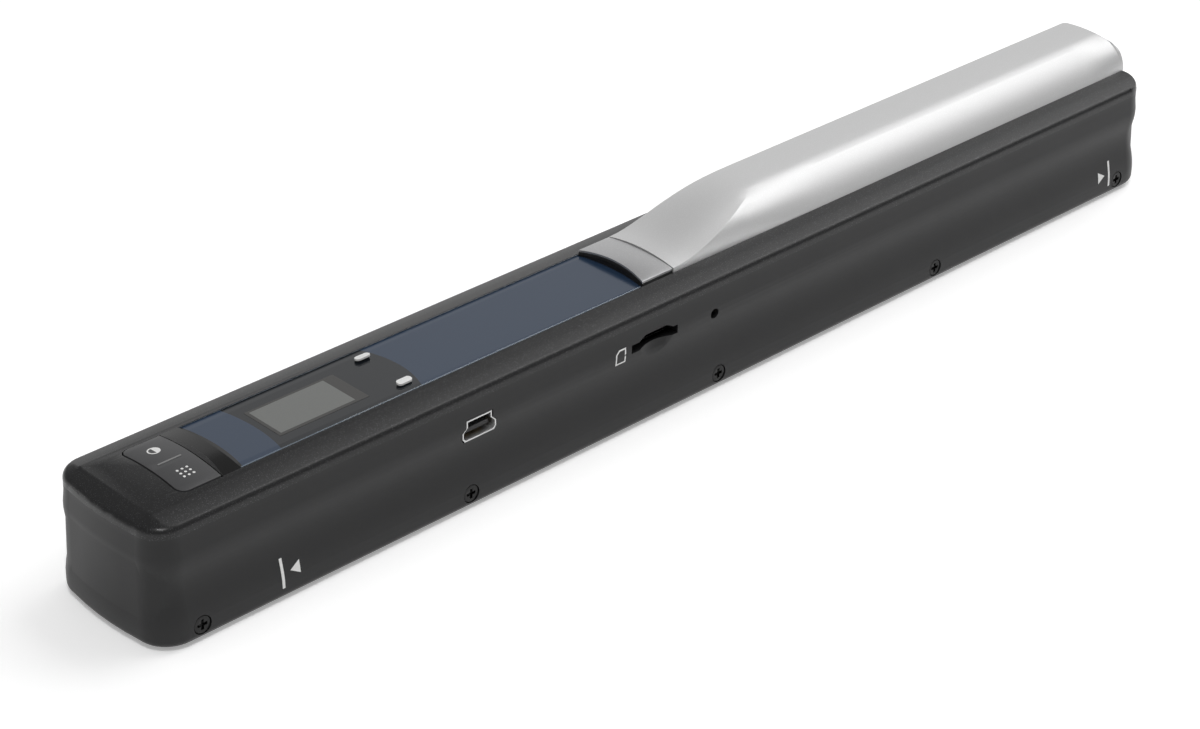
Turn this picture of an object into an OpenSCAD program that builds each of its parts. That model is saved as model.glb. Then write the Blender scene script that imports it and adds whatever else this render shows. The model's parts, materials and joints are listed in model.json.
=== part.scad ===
// Hand-held wand scanner for A4 pages.
// X runs along the body, with +X towards the battery end. -Y is the side with the sockets, +Z is up.
// The origin is under the middle of the body, on the surface that the rollers stand on.

/* [Body] */
// Length of the display end, from the left end to the battery cover
head_l = 120.9; // [120:0.1:126]
// Width of the body at its top edge
body_w = 28.25; // [28:0.25:32]
// Height of the top edge above the underside
body_h = 22.5; // [22.3:0.1:26]
// Rise of the top's crown above its edge
crown_h = 1.8; // [1.4:0.1:2.2]
// Length over which the crown falls to each end
crown_fall = 10; // [8:1:10]
// Plan radius of the upright corners
corner_r = 5.2; // [4.5:0.1:6]
// How far each end face bows out
end_bow = 0.68; // [0.3:0.01:1]
// Radius of the rim round the top
edge_r = 1.4; // [0.8:0.1:1.6]
// Radius of the lower edge
bottom_r = 1.4; // [0.8:0.1:1.5]
// How far the foot of the walls stands out past the top edge
foot_flare = 0.92; // [0.5:0.01:1.2]
// How far the waist of the walls draws in
waist_draw = 0.3; // [0:0.05:0.5]
// How far the walls swell under the top cover
shoulder_swell = 0.31; // [0:0.01:0.4]
// Thickness of the housing's walls
wall_t = 1.8; // [1.5:0.1:1.9]
// Thickness of the top cover
top_t = 2; // [1.8:0.1:2.2]
// Height of the top cover's skirt, from the top edge down to the parting line
skirt_h = 2.2; // [1.8:0.1:2.6]
// Depth and thickness of the top cover's inner lip
lip_h = 1.9; // [1:0.1:1.9]
lip_t = 1; // [0.8:0.1:1.1]
// Thickness of the bottom frame's plate
plate_t = 1.6; // [1.3:0.1:2]

/* [Rollers] */
// How far the rollers stand out below the underside
roller_proud = 0.7; // [0.4:0.1:1]
// Diameter and width of each rubber tyre
tyre_d = 6; // [5.8:0.1:6.2]
tyre_w = 6; // [4:0.5:9]
// Diameter of the plastic hub inside the tyre
hub_d = 4.2; // [3.6:0.1:4.6]
// Diameter of the steel roller shafts
shaft_d = 2; // [1.6:0.1:2.2]
// Distance of each shaft from the body's side
roller_inset = 4.825; // [4.7:0.025:4.9]
// Outer diameter of the roller bushes
bush_d = 3.4; // [3.2:0.1:3.8]
// Module of the encoder's gears
gear_module = 0.3; // [0.28:0.01:0.31]
// Teeth of the gear on the roller shaft
drive_teeth = 16; // [14:1:16]
// Teeth of the gear on the encoder's axle
encoder_teeth = 20; // [18:1:22]
// Width of both gears
gear_w = 2; // [1.5:0.1:2.2]
// Height of the encoder's axle above the roller shaft
encoder_rise = 4.3; // [4:0.1:4.6]
// Diameter of the encoder's axle
axle_d = 1.2; // [1:0.1:1.6]
// Diameter and thickness of the slotted disc
disc_d = 8.4; // [7:0.1:8.6]
disc_t = 0.5; // [0.4:0.1:0.8]
// Slots in the disc
disc_slots = 24; // [12:1:30]

/* [Scanning bar] */
// How much longer the body is than the width of the page that the bar reads
scan_margin = 36.5; // [36:0.5:40]
// Gap between the image sensor's housing and the tyres
sensor_gap = 0.6; // [0.5:0.1:1]
// Height of the image sensor's housing
sensor_h = 9.7; // [9:0.1:10]
// Rim of the image sensor's housing beside the glass
glass_rim = 0.8; // [0.7:0.1:1]
// Thickness of the glass
glass_t = 1.2; // [1:0.1:1.5]
// Thickness and height of the rod lens array
lens_t = 1.4; // [1.2:0.1:1.8]
lens_h = 4.6; // [4:0.1:5]

/* [Display end] */
// Distance from the left end to the mode key
key_inset = 10.35; // [10:0.05:11]
// Length of the mode key along the body
key_l = 8; // [7:0.1:9]
// Width of the top's edge beside the key, the window, the button and the cover
strip_edge = 5.625; // [5.4:0.025:5.8]
// Black bar between the key and the window
key_bar = 4; // [3:0.1:6]
// Thickness of the window at its edge
window_t = 1; // [0.8:0.1:1.1]
// Ledge that the window lies on
ledge_w = 1; // [0.8:0.1:1.2]
// Thickness of the mask and the tape under the window
mask_t = 0.25; // [0.1:0.05:0.3]
// Distance from the window's left end to the dark mask
mask_inset = 8.7; // [6:0.1:12]
// Length of the dark mask
mask_l = 30.5; // [30:0.5:36]
// Length of the display
lcd_l = 17.4; // [14:0.1:18]
// Distance from the display's sides to the window's sides
lcd_inset = 3.2; // [3:0.1:3.6]
// Thickness of the display
lcd_t = 1.6; // [1.2:0.1:2]
// Length and width of each status light
led_l = 3; // [2:0.1:4]
led_w = 1; // [0.8:0.1:1.4]
// Distance of the status lights from the window's sides
led_inset = 2.9; // [2.6:0.1:3.4]

/* [Scan button] */
// Length of the button along the body, at its sides
button_l = 7.7; // [7:0.1:8.5]
// How deep the button's left edge curves in
button_bow = 1.1; // [0.6:0.1:1.5]
// Height of the button's crown above the top cover
button_proud = 0.8; // [0.5:0.1:1.2]
// How far the button is pressed in
button_travel = 0.3; // [0.2:0.05:0.4]

/* [Battery end] */
// How much longer the battery cover is than two cells in a row
cell_room = 32.5; // [32:0.5:34]
// Distance from the cover's end to the body's end
cover_inset = 1.6; // [1.4:0.1:2]
// Height of the cover's crown above the body's top edge
cover_h = 7.45; // [7:0.05:8]
// Height of the cover at its seam with the button
seam_h = 2.85; // [2.6:0.05:3.2]
// Length over which the cover rises from the seam
rise_l = 31; // [28:1:34]
// Radius of the cover's front flank
flank_r = 5.9; // [5.6:0.1:6.2]
// Radius of the cover's rear shoulder
shoulder_r = 2.5; // [2:0.1:3]
// Radius of the cover's end
cover_end_r = 1.6; // [1:0.1:2]
// Radius of the cover's crown across the body
cover_r = 37; // [32:1:45]
// Distance of the cover's crown behind the middle line
crown_y = 2.5; // [1:0.1:3]
// Thickness of the cover
cover_t = 1; // [0.9:0.05:1.1]
// How far the cover slides before it lifts off
cover_travel = 4; // [3.5:0.1:4]
// Diameter and length of one battery cell
cell_d = 14.5; // [13.8:0.1:14.5]
cell_l = 50.5; // [49.5:0.1:50.5]
// Thickness of the battery tray
tray_t = 1; // [0.9:0.1:1.1]
// Room for the contact at each end of the cells
contact_room = 3.9; // [3.4:0.1:3.9]

/* [Sockets] */
// Distance from the left end to the data socket
usb_inset = 68.4; // [66:0.1:80]
// Width and height of the data socket
usb_w = 7.7; // [7.5:0.1:7.9]
usb_h = 4; // [3.8:0.1:4.2]
// Width of the data socket's narrow half
usb_neck_w = 5.8; // [5.6:0.1:6.4]
// Depth of the data socket
usb_depth = 9.2; // [8.5:0.1:10]
// Distance from the seam back to the card slot
card_inset = 10.4; // [9:0.1:14]
// Width and height of the card slot
card_w = 11.6; // [11.4:0.1:12]
card_h = 1.7; // [1.3:0.1:1.8]
// Distance from the seam to the reset hole
reset_inset = 5; // [4.5:0.1:6]
// Diameter of the reset hole
reset_d = 2; // [1.4:0.1:2.4]

/* [Circuit board and screws] */
// Thickness of the main board
board_t = 1.2; // [1:0.1:1.6]
// Depth of the main board's top below the body's top edge
board_drop = 4.3; // [4.2:0.1:4.5]
// Height of the case screws above the underside
screw_h = 2.7; // [2.5:0.1:3]
// Diameter of the case screws' heads
head_d = 3.2; // [2.8:0.1:3.4]
// Diameter and length of the case screws' threads
thread_d = 1.8; // [1.6:0.1:2]
thread_l = 2.6; // [2.2:0.1:2.8]
// Distances from the ends to the outer case screws
screw_inset_left = 8.2; // [7.5:0.1:8.8]
screw_inset_right = 9.1; // [8.5:0.1:9.6]

/* [Fits] */
// Gap round parts that are assembled
fit_gap = 0.15; // [0.1:0.01:0.2]
// Radial gap of a turning fit
run_gap = 0.05; // [0.03:0.01:0.08]

/* [Hidden] */

// A cut runs past the face that it starts from by this much
over = 1;
eps = 0.01;
round_fn = 48;
wide_fn = 360;

// Levels above the floor
base_z = roller_proud;
edge_z = base_z + body_h;
crown_z = edge_z + crown_h;
part_z = edge_z - skirt_h;
plate_z = base_z + plate_t;
board_z = edge_z - board_drop;
board_low = board_z - board_t;
wall_steps = 16;

// Plan of the body: a long rectangle with round corners and bowed ends
cover_l = 2 * cell_l + cell_room;
body_l = head_l + cover_l + cover_inset;
left_x = -body_l / 2;
right_x = body_l / 2;
half_w = body_w / 2;
strip_y = half_w - strip_edge;
corner_y = half_w - corner_r;
bow_r = (pow(corner_y, 2) + pow(end_bow, 2)) / (2 * end_bow) + corner_r;
bow_x = right_x - bow_r;
bow_a = asin(corner_y / (bow_r - corner_r));
// The corners stand out past the bow by a hair, so that the two faces cross
corner_x = 0.06 + round(1000 * (bow_x + sqrt(pow(bow_r - corner_r, 2) - pow(corner_y, 2)))) / 1000;

// The top's crown is an arc across the body, and another that falls to the left end
dome_half = half_w - edge_r;
rim_slope = 22;
rim_start = 26;
rim_in = corner_r - edge_r * (1 - sin(rim_start));
rim_up = edge_z - edge_r * (1 - cos(rim_start));
rim_core = 4.2;
end_rim_r = 2.6;
dome_r = (pow(dome_half, 2) + pow(crown_h, 2)) / (2 * crown_h);
fall_x = left_x + edge_r + crown_fall;
fall_r = (pow(crown_fall, 2) + pow(crown_h, 2)) / (2 * crown_h);
side_z = dome_z(strip_y);

// Mode key
key_gap = 0.25;
key_x0 = left_x + key_inset;
key_x1 = key_x0 + key_l;
key_mid = (key_x0 + key_x1) / 2;
key_y = strip_y - fit_gap;
key_corner_r = 1.8;
key_proud = 0.1;

// Battery cover's place, and the button beside it
cover_x1 = right_x - cover_inset;
seam_x = cover_x1 - cover_l;
seat_z = side_z - 0.12;
button_x1 = seam_x - fit_gap;
button_x0 = button_x1 - button_l;
button_mid = (button_x0 + button_x1) / 2;
button_y = strip_y - fit_gap;
button_t = 1.2;

// Window, mask, display and lights
window_x0 = key_x1 + key_bar;
window_y = strip_y - fit_gap / 2;
window_low = side_z - window_t;
ledge_z = window_low - mask_t;
rim_w = 1.2;
rim_z = ledge_z - 0.9;
mask_x0 = window_x0 + mask_inset;
mask_x1 = mask_x0 + mask_l;
lcd_mid = mask_x0 + 2 + lcd_l / 2;
lcd_top = ledge_z;
lcd_low = lcd_top - lcd_t;
led_x = mask_x1 - led_l;
led_h = 0.6;
led_y = strip_y - led_inset;
lcd_w = 2 * (strip_y - lcd_inset);

// Key's pins and the switches under the key and the button
key_axis_z = ledge_z - 1.2;
key_low = key_axis_z - 0.9;
key_pin_d = 1.2;
key_pin_l = 1.1;
ear_t = 1.2;
key_nub_d = 2.4;
key_switch_y = strip_y - 3.5;
key_switch_h = 1;
key_plunger_d = 2;
plunger_top = board_z + key_switch_h + 0.4;
button_low = board_z + 1.9;
scan_switch_h = 2.2;
scan_plunger_d = 2.4;
scan_switch_x = button_mid + 0.55;
scan_stem_z = board_z + scan_switch_h + 1.2;

// Sockets: they hang under the main board, behind the front wall
usb_x = left_x + usb_inset;
usb_z1 = board_low;
usb_z0 = usb_z1 - usb_h;
usb_step_z = usb_z0 + 0.45 * usb_h;
usb_shell_t = 0.3;
swell_y = half_w + shoulder_swell;
usb_mouth_y = -swell_y + 0.15;
card_x = seam_x - card_inset;
card_z = board_low - 1;
card_y0 = -swell_y + wall_t + 0.3;
card_y1 = card_y0 + 14.5;
finger_x = card_x + 0.4;
finger_w = 8.6;
finger_depth = 1.2;
arch_h = 1.3;
arch_r = (pow(finger_w / 2, 2) + pow(arch_h, 2)) / (2 * arch_h);
dish_r = (pow(finger_w / 2, 2) + pow(finger_depth, 2)) / (2 * finger_depth);
reset_x = seam_x + reset_inset;
reset_z = board_low - 1.5;
reset_y0 = -half_w + wall_t + 1.8;
reset_plunger_d = 1.2;

// Case screws: heads sunk in the housing, threads in the bottom frame's bosses
screw_xs = [left_x + screw_inset_left, usb_x - 2.6, seam_x + 6.05, right_x - 67.6, right_x - screw_inset_right];
screw_z = base_z + screw_h;
head_t = 1;

// The waist runs out round the corners: the end faces are straight from the foot to the shoulder
straight_in = 1;
straight_t = 1.25;
straight_z = [base_z + 0.09 * body_h, base_z + 0.72 * body_h];
straight_out = [for (z = straight_z) foot_flare - 0.12
    - (foot_flare - shoulder_swell) * ((z - base_z) / body_h - 0.12) / 0.58];
foot_y = half_w + foot_flare;
head_seat_y = foot_y - 0.15 - head_t;
boss_out_y = foot_y - wall_t - fit_gap;
roller_y = half_w - roller_inset;
boss_in_y = roller_y + shaft_d / 2 + 0.35;
boss_w = 4.4;

// Scanning bar, set back from the gear bay at the left end
sensor_ear = 2.8;
sensor_x0 = left_x + 22.5;
scan_l = body_l - scan_margin;
sensor_x1 = sensor_x0 + scan_l + 3.5;
sensor_w = 2 * (roller_y - tyre_d / 2 - sensor_gap);
glass_w = sensor_w - 2 * glass_rim;
sensor_top = base_z + sensor_h;
sensor_board_t = 1;
lens_z0 = base_z + glass_t + 0.5;
guide_seat_y = lens_t / 2 + 0.8;
guide_d = glass_w / 2 - 1 - guide_seat_y;
ribbon_t = 0.3;
sensor_screw_ps = [[sensor_x0 - sensor_ear / 2, -2.5], [sensor_x1 + sensor_ear / 2, 2.5]];

// Rollers, bushes and gears
shaft_z = tyre_d / 2;
bulkhead_t = 1.6;
bulkhead_y = roller_y + bush_d / 2 + 0.7;
bulkheads = [left_x + 8.2, sensor_x0 - sensor_ear - bulkhead_t / 2 - fit_gap,
    sensor_x1 + sensor_ear + bulkhead_t / 2 + fit_gap];
shaft_x0 = bulkheads[0] - bulkhead_t / 2 - 0.4;
shaft_x1 = bulkheads[2] + bulkhead_t / 2 + 0.4;
tyre_xs = [for (i = [0 : 3]) (screw_xs[i] + screw_xs[i + 1]) / 2];
gear_x = bulkheads[1] - bulkhead_t / 2 - 0.4 - gear_w / 2;
gear_tip = gear_module * (drive_teeth / 2 + 1);
gear_play = 8;
gear_gap = gear_module * (drive_teeth + encoder_teeth) / 2 + 0.06;
gear_a = asin(encoder_rise / gear_gap);
encoder_y = roller_y - gear_gap * cos(gear_a);
encoder_z = shaft_z + encoder_rise;
disc_x = gear_x - gear_w / 2 - 3.4;
axle_x0 = bulkheads[0] - bulkhead_t / 2;
axle_x1 = bulkheads[1] + bulkhead_t / 2;

// Battery bay
tray_x0 = seam_x + 14.2;
tray_x1 = tray_x0 + 2 * cell_l + 2 * contact_room;
cell_z = base_z + 19.2;
nub_d = 5.5;
nub_l = 1.2;
leaf_t = 0.3;
leaf_w = 4;
leaf_foot = 0.6;
lead_d = 1.1;
tray_in_y = cell_d / 2 + 0.2;
lead_y = tray_in_y - 2.45;
tray_top = cell_z + 0.9;
tray_low = cell_z - cell_d / 2 - 0.2 - tray_t;
tab_t = 1.2;
bay_y = strip_y - 0.85;
bay_x0 = seam_x + 3;
bay_x1 = right_x - 3.4;
hook_l = 2.1;
hook_xs = [bay_x0 + 0.35, bay_x1 - 0.25 - cover_travel - hook_l];
hook_y = bay_y - fit_gap;
hook_foot = 0.7;
foot_z = dome_z(bay_y + 0.8) - top_t - 0.3;

// Main board, and the posts that hang from the top cover
board_x0 = left_x + 7.4;
board_x1 = seam_x + 10.1;
board_y = half_w - wall_t - 0.5;
post_d = 2.8;
post_y = half_w - 4.425;
post_bite = 2;
tray_bite = 1.8;
small_thread_d = 1.4;
small_head_d = 2.4;
board_posts = [[key_x1 + 5.65, -post_y], [key_x1 + 5.65, post_y], [usb_x + 16, -post_y], [usb_x + 16, post_y],
    [seam_x + 7, post_y]];
tray_posts = [for (x = [tray_x0 + 6, tray_x1 - 6], y = [-post_y, post_y]) [x, y]];

// Height of the crowned top at a distance y from the middle line
function dome_z(y) = crown_z - dome_r + sqrt(pow(dome_r, 2) - pow(y, 2));

// Smooth step from 0 to 1 between a and b
function blend(t, a, b) = let (u = min(1, max(0, (t - a) / (b - a)))) (1 - cos(180 * u)) / 2;

// How far the wall stands out past the top edge, at a share t of the body's height
function wall_out(t) = foot_flare - (foot_flare + waist_draw) * blend(t, 0.12, 0.5)
    + (waist_draw + shoulder_swell) * blend(t, 0.5, 0.7) - shoulder_swell * blend(t, 0.72, 0.87);

// How far the lower edge is rounded back at a height h above the underside
function edge_back(h) = h >= bottom_r ? 0 : bottom_r - sqrt(pow(bottom_r, 2) - pow(bottom_r - h, 2));

// Share of the cover's rise that is still to come at x
function to_rise(x) = let (t = min(1, max(0, (x - seam_x) / rise_l))) pow(1 - t, 3) * (1 + 3 * t);

// Radius of an arc that bows by this much across the strip
function bow_of(bow) = (pow(strip_y, 2) + pow(bow, 2)) / (2 * bow);

// A box given by its two corners
module span(low, high) {
    translate(low) cube(high - low);
}

// A box that is the same on both sides of the middle plane
module span_y(x0, x1, y, z0, z1) {
    span([x0, -y, z0], [x1, y, z1]);
}

// A round bar along X
module bar_x(x0, x1, y, z, d) {
    translate([x0, y, z]) rotate([0, 90, 0]) cylinder(h = x1 - x0, d = d, $fn = round_fn);
}

// A round bar along Y
module bar_y(x, y0, y1, z, d) {
    translate([x, y1, z]) rotate([90, 0, 0]) cylinder(h = y1 - y0, d = d, $fn = round_fn);
}

// A round bar along Z
module bar_z(x, y, z0, z1, d, $fn = round_fn) {
    translate([x, y, z0]) cylinder(h = z1 - z0, d = d);
}

// Both sides of the middle plane
module both_sides() {
    for (side = [0, 1]) mirror([0, side, 0]) children();
}

// Sweeps a profile round the body's plan. In the profile, x is the distance out from the corner's centre.
// A second profile is used for the right end
module around() {
    union() {
        both_sides() translate([-corner_x, corner_y, 0]) rotate([90, 0, 90]) linear_extrude(2 * corner_x) children(0);
        mirror([1, 0, 0]) round_end() children(0);
        round_end() children($children - 1);
    }
}

// The same sweep round the right end. The corners are tighter by this much
module round_end(tight = 0) {
    both_sides() translate([corner_x + tight, corner_y, 0]) rotate_extrude(angle = 90, $fn = wide_fn) children();
    translate([corner_x + tight, corner_y, 0]) rotate([90, 0, 0]) linear_extrude(2 * corner_y) children();
    translate([bow_x, 0, 0]) rotate([0, 0, -bow_a]) rotate_extrude(angle = 2 * bow_a, $fn = 4 * wide_fn)
        translate([bow_r - corner_r + tight, 0]) children();
}

// The body's plan, grown by d, with flat ends as it is inside or bowed ones as it is outside
module plan(d, bowed) {
    square([2 * corner_x, 2 * (half_w + d)], center = true);
    square([2 * (corner_x + corner_r + d), 2 * corner_y], center = true);
    for (end = [-1, 1]) {
        for (side = [-1, 1]) translate([end * corner_x, side * corner_y]) circle(corner_r + d, $fn = wide_fn);
        if (bowed) intersection() {
            translate([end * bow_x, 0]) circle(bow_r + d, $fn = 4 * wide_fn);
            polygon([[end * bow_x, 0], [end * (bow_x + 2 * bow_r), 2 * bow_r * tan(bow_a)],
                [end * (bow_x + 2 * bow_r), -2 * bow_r * tan(bow_a)]]);
        }
    }
}

// The same plan as a slab
module plan_slab(d, z0, z1, bowed = false) {
    translate([0, 0, z0]) linear_extrude(z1 - z0) plan(d, bowed);
}

// Everything under the crowned top, drop lower than its outer face. The crown falls to the left end
module under_dome(drop) {
    intersection() {
        translate([left_x - over, 0, 0]) rotate([90, 0, 90]) linear_extrude(body_l + 2 * over) intersection() {
            translate([0, crown_z - dome_r]) circle(dome_r - drop, $fn = 4 * wide_fn);
            translate([-half_w - over, 0]) square([body_w + 2 * over, 2 * crown_z]);
        }
        translate([0, half_w + over, 0]) rotate([90, 0, 0]) linear_extrude(body_w + 2 * over) {
            translate([fall_x, 0]) square([right_x + over - fall_x, crown_z - drop]);
            intersection() {
                translate([fall_x, crown_z - fall_r]) circle(fall_r - drop, $fn = 2 * wide_fn);
                translate([left_x - over, 0]) square([fall_x - left_x + over, 2 * crown_z]);
            }
        }
    }
}

// A block over the mode key's plan, with round left corners
module key_block(g, z0, z1) {
    span_y(key_x0 + key_corner_r, key_x1 + g, key_y + g, z0, z1);
    span_y(key_x0 - g, key_x1 + g, key_y - key_corner_r, z0, z1);
    for (side = [-1, 1]) bar_z(key_x0 + key_corner_r, side * (key_y - key_corner_r), z0, z1, 2 * (key_corner_r + g));
}

// A block over the window's plan. Its right end bulges along the button's curved edge
module window_block(x0, g, z0, z1) {
    r = bow_of(button_bow);
    tip_x = button_x0 + button_bow - 2 * fit_gap + g;
    intersection() {
        span_y(x0 - g, tip_x + over, window_y + g, z0, z1);
        union() {
            bar_z(tip_x - r, 0, z0, z1, 2 * r, $fn = 4 * wide_fn);
            span_y(x0 - g, max(x0, tip_x - r), window_y + g, z0, z1);
        }
    }
}

// A block over the button's plan. Its left edge curves in
module button_block(g, z0, z1) {
    r = bow_of(button_bow);
    difference() {
        span_y(button_x0 - g, button_x1 + g, button_y + g, z0, z1);
        bar_z(button_x0 + button_bow - g - r, 0, z0 - over, z1 + over, 2 * r, $fn = 4 * wide_fn);
    }
}

// A screw with its head at the origin, pointing along +Z, with a cross in the head
module screw(d_head, h_head, d, l) {
    difference() {
        translate([0, 0, -h_head]) cylinder(h = h_head, d = d_head, $fn = round_fn);
        for (a = [0, 90]) rotate([0, 0, a])
            span([-0.3 * d_head, -0.09 * d_head, -h_head - over], [0.3 * d_head, 0.09 * d_head, -0.45 * h_head]);
    }
    cylinder(h = l, d = d, $fn = round_fn);
}

module main_housing() {
    wall_top = part_z - base_z;
    heights = concat([for (i = [0 : 4]) bottom_r * (1 - cos(18 * i))],
        [for (i = [0 : wall_steps]) bottom_r + (wall_top - bottom_r) * i / wall_steps]);
    outer = [for (h = heights) [corner_r + wall_out(h / body_h) - edge_back(h), base_z + h]];
    inner = [for (i = [wall_steps : -1 : 0]) let (h = wall_top * i / wall_steps)
        [corner_r - wall_t + wall_out(h / body_h), base_z + h]];
    color([0.16, 0.16, 0.165]) difference() {
        union() {
            around() polygon(concat(outer, inner));
            for (end = [0, 1]) mirror([end, 0, 0]) difference() {
                round_end(straight_in) straight_wall(corner_r - straight_in, 0);
                round_end() straight_wall(corner_r - straight_t, over);
            }
        }
        // data socket
        translate([usb_x, -corner_y, 0]) rotate([90, 0, 0]) linear_extrude(corner_r + over) usb_outline(fit_gap);
        // card slot, with an arch over it and a dish under it for a finger
        span([card_x - card_w / 2, -half_w - over, card_z - card_h / 2],
            [card_x + card_w / 2, -corner_y, card_z + card_h / 2]);
        intersection() {
            bar_y(finger_x, -swell_y - over, -swell_y + finger_depth, card_z + card_h / 2 + arch_h - arch_r, 2 * arch_r);
            span([finger_x - finger_w, -swell_y - over, card_z], [finger_x + finger_w, 0, edge_z]);
        }
        intersection() {
            translate([finger_x, -swell_y + finger_depth - dish_r, card_z + 0.1]) sphere(r = dish_r, $fn = 2 * round_fn);
            span([finger_x - finger_w, -swell_y - over, base_z], [finger_x + finger_w, 0, card_z]);
        }
        // reset hole
        bar_y(reset_x, -half_w - over, -corner_y, reset_z, reset_d);
        // case screws
        both_sides() for (x = screw_xs) {
            bar_y(x, -foot_y - over, -head_seat_y, screw_z, head_d + 2 * fit_gap);
            bar_y(x, -foot_y, -foot_y + wall_t + over, screw_z, thread_d + 2 * fit_gap);
        }
    }
}

// Profile of the straight wall's block at the ends, grown up and down by g
module straight_wall(r, g) {
    polygon([[0, straight_z[0] - g], [r + straight_out[0], straight_z[0] - g], [r + straight_out[0], straight_z[0]],
        [r + straight_out[1], straight_z[1]], [r + straight_out[1], straight_z[1] + g], [0, straight_z[1] + g]]);
}

// Profile of the top cover's rim with its skirt. Past its arc the rim rises on, until it meets the crown
module cover_rim() {
    translate([0, part_z]) square([corner_r, skirt_h - edge_r]);
    intersection() {
        translate([corner_r - edge_r, edge_z - edge_r]) circle(edge_r, $fn = round_fn);
        translate([rim_in, part_z]) square([corner_r - rim_in, skirt_h]);
    }
    polygon([[0, part_z], [rim_in, part_z], [rim_in, rim_up], [0, rim_up + rim_in * tan(rim_slope)]]);
}

// Profile of a rim of radius r on the skirt
module rim_profile(r) {
    top = edge_z - edge_r + r - part_z;
    translate([0, part_z]) square([corner_r, skirt_h - edge_r]);
    translate([0, part_z]) square([corner_r - r, top]);
    intersection() {
        translate([corner_r - r, edge_z - edge_r]) circle(r, $fn = round_fn);
        translate([0, part_z]) square([corner_r, top]);
    }
}

module top_cover() {
    color([0.2, 0.2, 0.21]) difference() {
        union() {
            difference() {
                union() {
                    intersection() {
                        union() {
                            around() {
                                cover_rim();
                                rim_profile(end_rim_r);
                            }
                            plan_slab(-rim_core, part_z, crown_z + over, true);
                        }
                        under_dome(0);
                    }
                    // lip inside the housing
                    plan_slab(-wall_t - fit_gap, part_z - lip_h, part_z + eps);
                }
                // hollow
                intersection() {
                    plan_slab(-wall_t - fit_gap - lip_t, part_z - lip_h - over, crown_z);
                    under_dome(top_t);
                }
            }
            // rim under the window's ledge
            window_block(window_x0, rim_w, rim_z, ledge_z + eps);
            for (x = [key_x0 - key_gap - ear_t, key_x1 + key_gap]) key_ear(x);
            for (p = board_posts) post(p[0], p[1], board_z);
            for (p = tray_posts) post(p[0], p[1], tray_top);
        }
        key_block(key_gap, board_z, crown_z + over);
        bar_x(key_x0 - key_gap - ear_t - over, key_x1 + key_gap + ear_t + over, 0, key_axis_z, key_pin_d + 2 * run_gap);
        // window recess, and the opening inside its ledge
        window_block(window_x0, fit_gap / 2, ledge_z, crown_z + over);
        span_y(window_x0 + ledge_w, button_x0 - ledge_w - 2 * fit_gap, strip_y - ledge_w, board_z, crown_z);
        button_block(fit_gap, board_z, crown_z + over);
        // seat of the battery cover, the bay under it and the notches for the cover's hooks
        span_y(seam_x - fit_gap, right_x + over, strip_y + fit_gap, seat_z, crown_z + over);
        span_y(bay_x0, bay_x1, bay_y, board_z, crown_z);
        for (x = hook_xs) span_y(x + cover_travel - fit_gap, x + cover_travel + hook_l + fit_gap,
            hook_y + hook_foot + fit_gap, board_z, crown_z);
        // screw pilots
        for (p = board_posts) bar_z(p[0], p[1], board_z - over, board_z + post_bite, small_thread_d);
        for (p = tray_posts) bar_z(p[0], p[1], tray_top - over, tray_top + tray_bite, small_thread_d);
    }
}

// An ear that holds one of the mode key's pins
module key_ear(x) {
    intersection() {
        span_y(x, x + ear_t, 2, key_axis_z - 1.5, crown_z);
        under_dome(top_t - eps);
    }
}

// A screw post that hangs from the top down to z0
module post(x, y, z0) {
    intersection() {
        bar_z(x, y, z0, crown_z, post_d);
        under_dome(top_t - eps);
    }
}

module bottom_frame() {
    color([0.13, 0.13, 0.135]) difference() {
        union() {
            plan_slab(foot_flare - wall_t - fit_gap, base_z, plate_z);
            for (x = bulkheads) bulkhead(x);
            // bosses for the case screws
            both_sides() for (x = screw_xs)
                span([x - boss_w / 2, boss_in_y, base_z], [x + boss_w / 2, boss_out_y, screw_z + 1.4]);
        }
        span_y(sensor_x0 - fit_gap, sensor_x1 + fit_gap, sensor_w / 2 + fit_gap, 0, plate_z + over);
        both_sides() {
            for (x = tyre_xs) span([x - tyre_w / 2 - 0.5, sensor_w / 2, 0],
                [x + tyre_w / 2 + 0.5, roller_y + tyre_d / 2 + 0.3, plate_z + over]);
            // grooves for the shafts, and bores for their bushes
            for (i = [0, 1]) span([bulkheads[i] + bulkhead_t / 2, roller_y - shaft_d / 2 - 0.3, shaft_z - shaft_d / 2 - 0.3],
                [bulkheads[i + 1] - bulkhead_t / 2, roller_y + shaft_d / 2 + 0.3, plate_z + over]);
            for (x = bulkheads) bar_x(x - bulkhead_t / 2 - 0.5, x + bulkhead_t / 2 + 0.5, roller_y, shaft_z, bush_d);
            for (x = screw_xs) bar_y(x, boss_in_y - over, boss_out_y + over, screw_z, thread_d);
        }
        span([gear_x - gear_w / 2 - 0.3, roller_y - gear_tip - 0.3, 0],
            [gear_x + gear_w / 2 + 0.3, roller_y + gear_tip + 0.3, plate_z + over]);
        bar_x(axle_x0 - over, axle_x1 + over, encoder_y, encoder_z, axle_d + 2 * run_gap);
        for (p = sensor_screw_ps) bar_z(p[0], p[1], base_z + 0.4, plate_z + over, small_thread_d);
    }
}

// A wall across the frame that carries the bushes, and by the gears the encoder's axle
module bulkhead(x) {
    x0 = x - bulkhead_t / 2;
    x1 = x + bulkhead_t / 2;
    span_y(x0, x1, bulkhead_y, base_z, shaft_z + bush_d / 2 + 0.6);
    if (x < sensor_x0) {
        span([x0, encoder_y - 1.8, plate_z], [x1, encoder_y + 1.8, encoder_z]);
        bar_x(x0, x1, encoder_y, encoder_z, 3.6);
    }
}

module front_case_screws() {
    color([0.08, 0.08, 0.08]) for (x = screw_xs) translate([x, -head_seat_y, screw_z])
        rotate([-90, 0, 0]) screw(head_d, head_t, thread_d, thread_l);
}

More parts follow.
